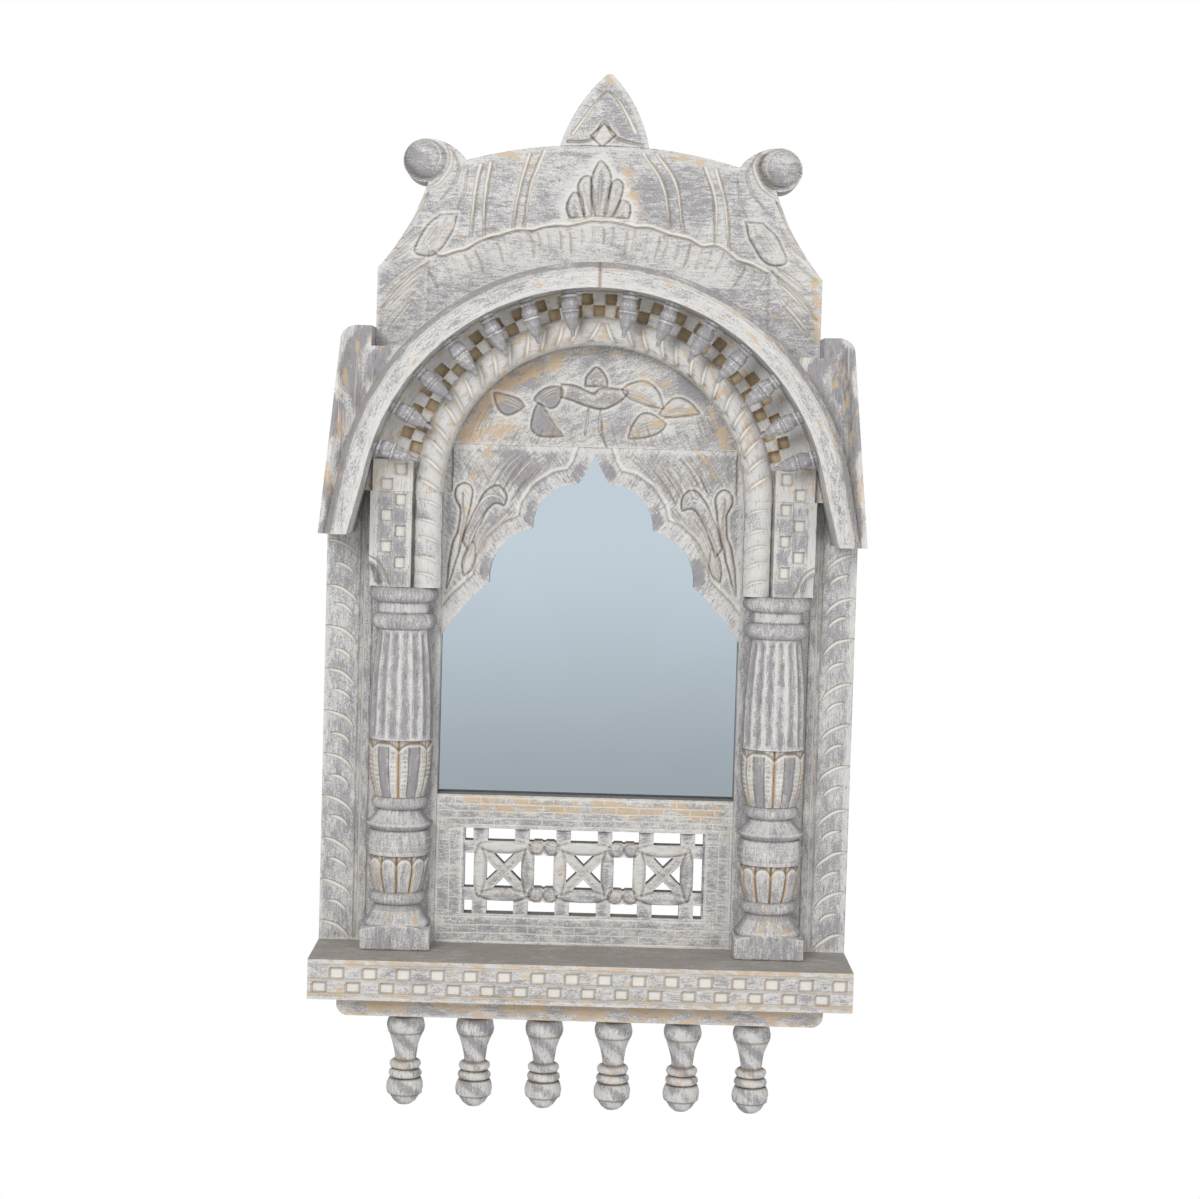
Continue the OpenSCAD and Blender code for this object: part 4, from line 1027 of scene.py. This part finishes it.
# %% Finial
def carve_finial():
    board = Carving("crown_finial", uneven=0.6, ground=1.2)
    peak = board.high[2]

    def down(*points):
        return np.array(points, float) * (1, -1) + (0, peak)

    board.gouge(curve(*down((-29, 53), (-14, 30), (-1, 14))), 3.4, 1.6, 1.0, 0.6, "end")
    board.gouge(curve(*down((26, 50), (13, 28), (0, 14))), 4.2, 1.8, 1.0, 0.6, "end")
    board.gouge(curve(*down((-33, 60), (-12, 57), (-2, 42), (9, 55), (33, 62))), 2.2, 1.4, 0.3, 1.0, "none")
    board.raise_leaf(down((-13, 54), (-2, 43), (9, 53), (-2, 64)), 1.6, 4, 1.4, 1.0, tone=1.6)
    board.gouge(down((-2, 58), (-2, 47)), 1.2, 0.8, 0.7)
    board.rub(down((-2, 4), (3, 9)), 6, 0.8)
    mesh = cut_board(board)
    spots = array_of(mesh.vertices, "co", 3)
    foot = to_frame(board.low)[2]
    share = np.clip((spots[:, 2] - foot) / (peak - board.low[2]) / MM, 0, 1)
    spots[:, 0] += 4 * MM * share
    mesh.vertices.foreach_set("co", spots.reshape(-1))


carve_finial()

# %% [markdown]
# The shelf is deep and plain above, with two staggered rows of square nicks along its front
# edge. Its top was wiped with a brown-grey wash. The step board under it is worn to the wood.

# %% Shelf and step board
def carve_shelf():
    board = Carving("shelf_board", step=0.75)
    low, high = board.low, board.high
    board.paint_holes(board.known & (board.front - low[1] > 1.5))
    for z in (high[2] - 5.0, (low[2] + high[2]) / 2, low[2] + 5.0):
        board.gouge([(x, z) for x in np.linspace(low[0], high[0], 40)], 1.5, 0.7, 0.7, 0.4, "none")
    for x in np.arange(low[0], high[0] - 20, 34):
        board.rub([(x, high[2] - 2), (x + rng.uniform(12, 32), high[2] - 2)], 3.5, rng.uniform(0.0, 0.8))
        board.rub([(x, -30), (x + rng.uniform(8, 30), -30)], 4, rng.uniform(0.0, 0.8))
    board.tone += 0.3
    board.bare += 0.28
    board.line *= 1.5
    cut_board(board, level, "tan_wash", side_paint="shelf_wash")


def carve_step():
    board = Carving("shelf_step", step=0.75, uneven=1.2)
    low, high = board.low, board.high
    for x in np.arange(low[0] + 30, high[0], 57):
        board.rub([(x, high[2] - 7), (x + rng.uniform(15, 40), high[2] - 8)], rng.uniform(4, 8), 0.9)
    board.bare += 0.45
    cut_board(board, level, "tan_wash")


carve_shelf()
carve_step()

# %% [markdown]
# Columns, pendants and drops come off a lathe. A profile is a list of radii and heights made
# of beads and swells, and a relief function then cuts flutes and leaves into the turning
# before its masks are worked out from how far each spot stands out from its neighbourhood.


# %% Profiles of beads and swells
def bead(z, tall, r):
    """A round ring from z upwards."""
    t = np.linspace(0, np.pi, 9)
    return list(zip(r - tall / 2 + tall / 2 * np.sin(t), z + tall / 2 - tall / 2 * np.cos(t)))


def swell(z, tall, r0, r1, bulge):
    """A slow change of radius with a bulge, or a hollow if the bulge is negative."""
    t = np.linspace(0, 1, 11)
    return list(zip(r0 + (r1 - r0) * t + bulge * np.sin(np.pi * t), z + tall * t))


def profile_of(foot, tall, r, *parts):
    """A profile in shares of a height and a radius, from points, beads and swells.
    A point has 2 numbers, a bead has 3 and a swell 5, and each starts with its height."""
    profile = []
    for share, *more in parts:
        z = foot + share * tall
        if len(more) == 1:
            profile.append((more[0] * r, z))
        elif len(more) == 2:
            profile += bead(z, more[0] * tall, more[1] * r)
        else:
            profile += swell(z, more[0] * tall, *[value * r for value in more[1:]])
    return profile


# %% The lathe
def lathe(profile, around, pitch, relief=None):
    """Corners of a turning round the upright axis, with the masks that its relief cut."""
    profile = np.array(profile, float)
    profile = profile[np.concatenate([[True], np.hypot(*np.diff(profile, axis=0).T) > 1e-6])]
    run = run_along(profile)
    at = np.linspace(0, run[-1], max(3, round(run[-1] / pitch)))
    r, z = np.interp(at, run, profile[:, 0]), np.interp(at, run, profile[:, 1])
    A, Z = np.meshgrid(np.linspace(-np.pi, np.pi, around, endpoint=False), z, indexing="ij")
    R = np.broadcast_to(r, A.shape).copy()
    masks = {name: np.zeros(A.shape) for name in ("cut", "line", "tone", "bare")}
    R -= 0.25 * (1 + np.sin(3 * A + Z / 9 + rng.uniform(0, 6)) * np.sin(Z / 5 + 2 * A))
    if relief:
        R -= relief(A, Z, R, masks)
    spots = np.stack([R * np.sin(A), -R * np.cos(A), Z], -1)
    smooth = spots.copy()
    for _ in range(10):
        smooth = (np.roll(smooth, 1, 0) + np.roll(smooth, -1, 0) + 2 * smooth
                  + np.concatenate([smooth[:, :1], smooth[:, :-1]], 1)
                  + np.concatenate([smooth[:, 1:], smooth[:, -1:]], 1)) / 6
    proud = (R - np.hypot(smooth[..., 0], smooth[..., 1])) - 0.06
    masks["worn"] = np.clip(proud * 1.4, 0, 1)
    # Painted shade: olive and less white where a spot lies below its neighbourhood.
    masks["hollow"] = np.clip(-proud * 1.6, 0, 1.2)
    masks["brush"] = np.stack([A * r.mean(), np.broadcast_to(at, A.shape),
                               np.full(A.shape, rng.uniform(*SHIFT))], -1)
    return spots, masks


# %% Closed ends, soft blocks and the joined piece
def closed_turning(spots, masks):
    """Corners, faces and masks of a turning with both ends closed."""
    around, up = spots.shape[:2]
    number = np.arange(around * up).reshape(around, up)
    after = np.roll(number, -1, 0)
    quads = np.stack([number[:, :-1], after[:, :-1], after[:, 1:], number[:, 1:]], -1).reshape(-1, 4)
    ends = [np.stack([after[:, 0], number[:, 0], np.full(around, around * up)], -1),
            np.stack([number[:, -1], after[:, -1], np.full(around, around * up + 1)], -1)]
    flat = {}
    for name, mask in masks.items():
        mask = mask.reshape(around * up, -1)
        mask = np.vstack([mask, mask[[0, up - 1]]])
        flat[name] = mask if mask.shape[1] == 3 else mask[:, 0]
    return (np.vstack([spots.reshape(-1, 3), spots[:, 0].mean(0), spots[:, -1].mean(0)]), quads,
            np.vstack(ends), flat)


def rounded_block(low, high, radius):
    """A block with soft edges and slightly uneven faces, with its masks."""
    low, high = np.array(low, float), np.array(high, float)
    bm = bmesh.new()
    bmesh.ops.create_cube(bm, size=1)
    bmesh.ops.subdivide_edges(bm, edges=bm.edges, cuts=22, use_grid_fill=True)
    spots = (np.array([v.co for v in bm.verts]) + 0.5) * (high - low) + low
    quads = np.array([[v.index for v in f.verts] for f in bm.faces])
    bm.free()
    core = np.clip(spots, low + radius, high - radius)
    out = spots - core
    length = np.linalg.norm(out, axis=1, keepdims=True)
    spots = core + out / length * (radius - 0.25 * (1 + np.sin(spots.sum(1, keepdims=True) / 4)))
    masks = {n: np.zeros(len(spots)) for n in ("cut", "line", "tone", "bare", "hollow")}
    masks["worn"] = np.clip(2 * np.clip(length[:, 0] / radius - 1, 0, 1), 0, 1)
    masks["brush"] = np.stack([spots[:, 0] + spots[:, 1], spots[:, 2] * 0.6, np.full(len(spots), 31.0)], -1)
    return spots, quads, np.zeros((0, 3), int), masks


def turned_piece(node, parts, paint):
    """Joins closed parts into one piece that stands for a node."""
    spots, quads, ends, masks = zip(*parts)
    first = np.cumsum([0] + [len(part) for part in spots])
    mesh = add_mesh(node + "_turned", to_frame(np.vstack(spots)),
                    *[np.vstack([f + n for f, n in zip(faces, first)]) for faces in (quads, ends)])
    store(mesh, "POINT", {name: np.concatenate([m[name] for m in masks]) for name in masks[0]})
    stand_for(mesh, node, paint, sharp=50)


# %% [markdown]
# A column climbs from its plinth over a flare, a ring, a cup of leaves, a bulb, a sharp disc
# and a neck to a second cup and a fluted shaft. Its back is cut flat and lies on the board.


# %% Cups of leaves
def zone_of(Z, low, high):
    """1 between two heights, 0 outside."""
    return ((Z > low) & (Z < high)).astype(float)


def leaf_cup(A, Z, R, masks, low, high, count, hatch):
    """Upright leaves round a cup, with veins, and a notch between their tops."""
    zone = zone_of(Z, low, high)
    sector = 2 * np.pi / count
    across = np.abs((A % sector) - sector / 2) * R
    half = sector / 2 * R
    top = high - 1.5 - 6.5 * (across / half) ** 2.6
    seam = bell(half - across, 1.1) * zone
    arch = bell((Z - top) * 0.8, 0.9) * zone
    cut = 2.2 * seam + 1.6 * arch + 1.6 * zone * np.clip((Z - top) / 2, 0, 1)
    at_least(masks["line"], np.maximum(arch, (0.2 if hatch else 0.7) * seam))
    at_least(masks["cut"], 0.8 * bell(Z - top + 2.6, 0.9) * zone)
    at_least(masks["bare"], 1.3 * zone * bell(half - across, 2.2))
    if hatch:
        vein = bell(across - 0.35 * half, 0.8) * zone * (Z < top - 3)
        at_least(masks["line"], vein * 0.6)
        masks["tone"] -= 1.4 * zone * (across < 0.3 * half)
        rungs = (np.sin(Z * 1.5) > 0.5) * zone * (Z < top - 5) * (Z > low + 10)
        rungs = rungs * (across > 0.45 * half) * (across < half - 2)
        cut = cut + 1.1 * vein + 0.5 * rungs
        at_least(masks["cut"], 0.9 * rungs)
    return cut


# %% Cups, scores, flutes and rings of a column
def column_relief(base, tall):
    def relief(A, Z, R, masks):
        h = lambda share: base + share * tall
        cut = leaf_cup(A, Z, R, masks, h(0.088), h(0.2), 11, False)
        cut = cut + leaf_cup(A, Z, R, masks, h(0.374), h(0.545), 6, True)
        for share in (0.212, 0.232, 0.252):
            score = bell(Z - h(share), 0.6) * zone_of(Z, h(0.2), h(0.27))
            cut = cut + 0.6 * score
            at_least(masks["cut"], score * 0.55)
        flutes = np.clip((Z - h(0.545)) / 6, 0, 1) * np.clip((h(0.872) - Z) / 5, 0, 1)
        ridge = np.abs(np.sin(A * 8 + 0.25))
        cut = cut + flutes * 1.9 * ridge ** 1.5
        at_least(masks["cut"], 0.45 * flutes * bell(ridge * 4, 0.9))
        masks["tone"] += 0.35 - 0.6 * flutes * bell((1 - ridge) * 4.2, 0.8)
        for low, high in ((0.034, 0.09), (0.27, 0.295), (0.34, 0.376), (0.872, 0.925), (0.953, 1.0)):
            ring = zone_of(Z, h(low), h(high))
            masks["tone"] -= 0.7 * ring
            nicks = ring * (np.sin(A * 46 + np.sin(Z)) > 0.86)
            at_least(masks["cut"], 0.45 * nicks)
            cut = cut + 0.3 * nicks
        masks["tone"] += 0.6 * zone_of(Z, h(0.925), h(0.953)) + 0.35 * zone_of(Z, h(0.29), h(0.34))
        masks["bare"] += 0.6 * zone_of(Z, h(0.0), h(0.034)) * (np.sin(A * 2 + 1) > 0.2)
        return cut
    return relief


# %% Columns
PLINTH = 23                       # height of the square block under a column


def turn_column(node):
    low, high = reach(node)
    r = (high[0] - low[0]) / 2
    axis_x, axis_y = (low[0] + high[0]) / 2, low[1] + r
    tall = reach("left_pilaster")[0][2] - PLINTH
    profile = profile_of(
        PLINTH, tall, r, (-3 / tall, 0.97), (0, 0.97), (0.012, 0.85), (0.047, 0.66), (0.052, 0.64),
        (0.054, 0.034, 0.84), (0.088, 0.111, 0.68, 0.88, 0.05), (0.199, 0.074, 0.88, 0.88, 0.065),
        (0.275, 0.8), (0.29, 0.97), (0.297, 0.975), (0.3, 0.036, 0.9, 0.6, -0.03), (0.34, 0.034, 0.83),
        (0.374, 0.168, 0.72, 0.92, 0.08), (0.542, 0.333, 0.92, 0.74, 0.06), (0.875, 0.047, 0.96),
        (0.926, 0.74), (0.953, 0.74), (0.956, 0.044, 1))
    spots, masks = lathe(profile, 190, 0.85, column_relief(PLINTH, tall))
    x, y = spots[..., 0], spots[..., 1]
    # Painted shade: the column's sides, seen from the front, get a darker tone and olive, as if the light
    # falls off round them.
    edge_shade = np.clip((np.hypot(x, 0.6 * y) - 0.9 * np.hypot(x, y)) / (0.08 * r), 0, 1)
    masks["tone"] -= 1.2 * edge_shade
    at_least(masks["hollow"], 0.75 * edge_shade)
    spots += (axis_x, axis_y, 0)
    back = FRAME_FRONT - 0.02
    spots[..., 1] = np.minimum(spots[..., 1], back)
    plinth = rounded_block((low[0], low[1], 0), (high[0], back, PLINTH - 0.5), 2.5)
    corners = plinth[0]
    corners[:, 2] -= 4.5 * ((corners[:, 0] - axis_x) / r) ** 2 * (corners[:, 2] / PLINTH) ** 3
    turned_piece(node, [closed_turning(spots, masks), plinth], "tan_wash")


carve_pair(turn_column, "column")


# %% Pendants under the shelf
def pendant_relief(tall):
    def relief(A, Z, R, masks):
        twist = np.sin(A * 3 + Z / 3.2)
        masks["tone"] += 0.9 * twist + 0.3
        masks["bare"] += 0.5 * zone_of(Z, -0.72 * tall, -0.52 * tall) * (np.sin(A * 3 + 2) > 0.4)
        for share in (0.05, 0.225, 0.52, 0.615, 0.715, 0.885):
            at_least(masks["line"], bell(Z + share * tall, 1.0))
        return 0.3 * (twist > 0.8)
    return relief


def turn_pendant(node):
    low, high = reach(node)
    r, top = (high[0] - low[0]) / 2, reach("shelf_step")[0][2]
    tall = top - low[2]
    profile = profile_of(
        0, tall, r, (-1, 0.05), (-1, 0.36), (-0.96, 0.6), (-0.89, 0.8), (-0.88, 0.16, 0.91, 0.85, 0.08),
        (-0.715, 0.095, 0.87), (-0.615, 0.09, 0.83), (-0.52, 0.29, 0.56, 0.9, -0.07),
        (-0.225, 0.175, 0.93, 0.84, 0.11), (-0.045, 0.76), (-0.03, 0.84), (-0.02 / tall, 0.84))
    spots, masks = lathe(profile, 96, 0.9, pendant_relief(tall))
    spots += ((low[0] + high[0]) / 2, (low[1] + high[1]) / 2, top)
    turned_piece(node, [closed_turning(spots, masks)], "whitewash")


for number in range(1, 7):
    turn_pendant(f"pendant_{number}")


# %% Drops under the canopy
DROP_LENGTH, DROP_R, DROP_STEP = 40, 8, 10.7


def turn_drop(side, number):
    node = f"{side}_drop_{number}"
    low, high = reach(node)
    profile = profile_of(
        0, DROP_LENGTH, DROP_R, (-1, 0.05), (-1, 0.2), (-0.86, 0.3), (-0.84, 0.26),
        (-0.83, 0.35, 0.42, 0.9, 0.08), (-0.48, 0.08, 1), (-0.4, 0.24, 0.92, 0.74, 0.12),
        (-0.15, 0.08, 0.93), (-0.06, 0.84), (-0.1 / DROP_LENGTH, 0.84))
    spots, masks = lathe(profile, 48, 0.8)
    z = spots[..., 2]
    masks["tone"] += 0.4 * np.sin(z * 1.1 + number) + 0.5 * (z > -0.15 * DROP_LENGTH)
    lean = (number - 0.28) * (DROP_STEP if side == "left" else -DROP_STEP)
    x, z = slanted(lean)(spots[..., 0], z + HOOD_IN_R - 0.3)
    spots = np.stack([x, spots[..., 1] + (low[1] + high[1]) / 2, z + HOOD_Z], -1)
    turned_piece(node, [closed_turning(spots, masks)], "drop_wash")


for side, number in product(("left", "right"), range(1, 8)):
    turn_drop(side, number)

# %% [markdown]
# What stays hidden behind, or already has its true shape, keeps its plain solid and only gets
# a finish: sawn rails and the backing board, brass turn buttons, plated hangers and screws,
# and the mirror. Their streaks come from the place in the frame itself.


# %% Glass, bare wood and metal
def bare_wood(name, light, dark):
    """Sawn wood with its grain along the board."""
    finish = Finish(name)
    place = finish.place()
    grain = finish.noise(place, (9.0, 160.0, 160.0), 5.0, 0.6)
    fine = finish.noise(place, (60.0, 900.0, 900.0), 3.0)
    colour = finish.mix(light, dark, (grain * 0.7 + fine * 0.4).between(0.4, 0.75))
    bump = finish.node("ShaderNodeBump", None, Strength=0.3, Distance=0.0004, Height=fine)
    return finish.close(Base_Color=colour, Roughness=grain * 0.2 + 0.7, Normal=bump)


def metal(name, colour, stain, roughness):
    """Metal that is a little dull and stained."""
    finish = Finish(name)
    place = finish.place()
    clouds = finish.noise(place, (300.0, 300.0, 300.0), 4.0)
    brushed = finish.noise(place, (40.0, 2500.0, 2500.0), 2.0)
    return finish.close(Base_Color=finish.mix(colour, stain, clouds.between(0.45, 0.75)), Metallic=1.0,
                        Roughness=brushed * 0.2 + roughness)


REFLECTION_GREY_Z, REFLECTION_BLUE_Z = 134, 400         # heights where the painted reflection is grey, and where it is pale blue


def mirror_glass(name):
    """Silvered glass with a painted reflection: pale blue towards the top, greyer towards the sill."""
    finish = Finish(name)
    place = finish.place()
    height = finish.node("ShaderNodeSeparateXYZ", None, place, out=2)
    haze = finish.noise(place, (6.0, 6.0, 6.0), 2.0)
    share = (height + haze * 0.05).between(MM * REFLECTION_GREY_Z + SHELF_TOP, MM * REFLECTION_BLUE_Z + SHELF_TOP)
    colour = finish.mix((0.33, 0.375, 0.41), (0.535, 0.62, 0.685), share)
    return finish.close(Base_Color=colour, Metallic=1.0, Roughness=haze * 0.02 + 0.02)


# %% Plain solids in their finish
def finish_nodes(slot, make, values, *nodes):
    """Gives plain solids a finish in place of their own."""
    material = make(slot, *values)
    print(slot, "on", *nodes)
    for node in nodes:
        materials = frame["nodes"][node].data.materials
        materials.clear()
        materials.append(material)


finish_nodes("raw_wood", bare_wood, (tint(205, 172, 128), tint(160, 122, 82)),
             "top_rail", "sill_rail", "crown_dowels")
finish_nodes("backing", bare_wood, (tint(176, 140, 98), tint(128, 94, 60)), "mirror_backing")
finish_nodes("brass", metal, ((0.62, 0.44, 0.17), (0.35, 0.24, 0.1), 0.3), "button_screws",
             *[f"turn_button_{n}" for n in range(1, 5)])
finish_nodes("steel", metal, ((0.55, 0.55, 0.56), (0.35, 0.34, 0.33), 0.35),
             "left_hanger", "right_hanger", "hanger_screws", "shelf_screws")
finish_nodes("mirror", mirror_glass, (), "mirror_glass")

# %% [markdown]
# The photograph looks at the mirror from a little above its middle, from about 2.4 m away,
# with the camera turned slightly round its own axis. The floor lies far below the hanging
# mirror, and the world is white where the camera or a reflection looks.

# %% Camera
yaw, pitch, roll = np.radians((0.205, -3.54, 1.612))
camera = bpy.data.objects.new("camera", bpy.data.cameras.new("camera"))
camera.data.lens, camera.data.sensor_width = 79.88, 36
camera.matrix_world = (Matrix.Translation(Vector((-0.5, -2400, -31.5)) * MM) @ Matrix.Rotation(-yaw, 4, "Z")
                       @ Matrix.Rotation(math.pi / 2 + pitch, 4, "X") @ Matrix.Rotation(roll, 4, "Z"))
scene.collection.objects.link(camera)
scene.camera = camera
print("camera at", camera.matrix_world.translation)

# %% World
scene.view_settings.view_transform = "Standard"
sky = Finish("studio", bpy.data.worlds)
light_path = sky.tree.nodes.new("ShaderNodeLightPath")
seen, *others = [Wire(sky, light_path.outputs[f"Is {kind} Ray"]) for kind in
                 ("Camera", "Glossy", "Transmission")]
for ray in others:
    seen = seen.maths("MAXIMUM", seen, ray)
strength = sky.node("ShaderNodeMapRange", None, Value=seen, To_Min=0.48)
sky.node("ShaderNodeOutputWorld", None,
         sky.node("ShaderNodeBackground", None, Color=(1, 1, 1), Strength=strength))
scene.world = sky.owner
print("world of", len(sky.tree.nodes), "nodes")


# %% Lamps
def lamp(name, place, size, power):
    """A square lamp that looks at the hangers, in metres and watts."""
    light = bpy.data.objects.new(name, bpy.data.lights.new(name, "AREA"))
    light.data.size = size
    light.data.energy = power
    light.location = place
    light.rotation_euler = (-Vector(place)).to_track_quat("-Z", "Y").to_euler()
    scene.collection.objects.link(light)
    print(name, "lamp of", power, "W")


lamp("key", (-0.75, -2.1, 0.65), 0.8, 22)
lamp("fill", (1.3, -2.0, -0.2), 1.3, 10)

# %% Floor
FLOOR_HALF, FLOOR_Z = 1.6, -1.7   # in metres, like the lamps' places
floor = bpy.data.objects.new("floor", add_mesh(
    "floor", np.array([(-1, -1, 0), (1, -1, 0), (1, 1, 0), (-1, 1, 0)]) * FLOOR_HALF + (0, 0, FLOOR_Z),
    np.array([[0, 1, 2, 3]])))
floor.data.materials.append(Finish("floor").close(Base_Color=(0.86, 0.86, 0.86), Roughness=0.9))
scene.collection.objects.link(floor)
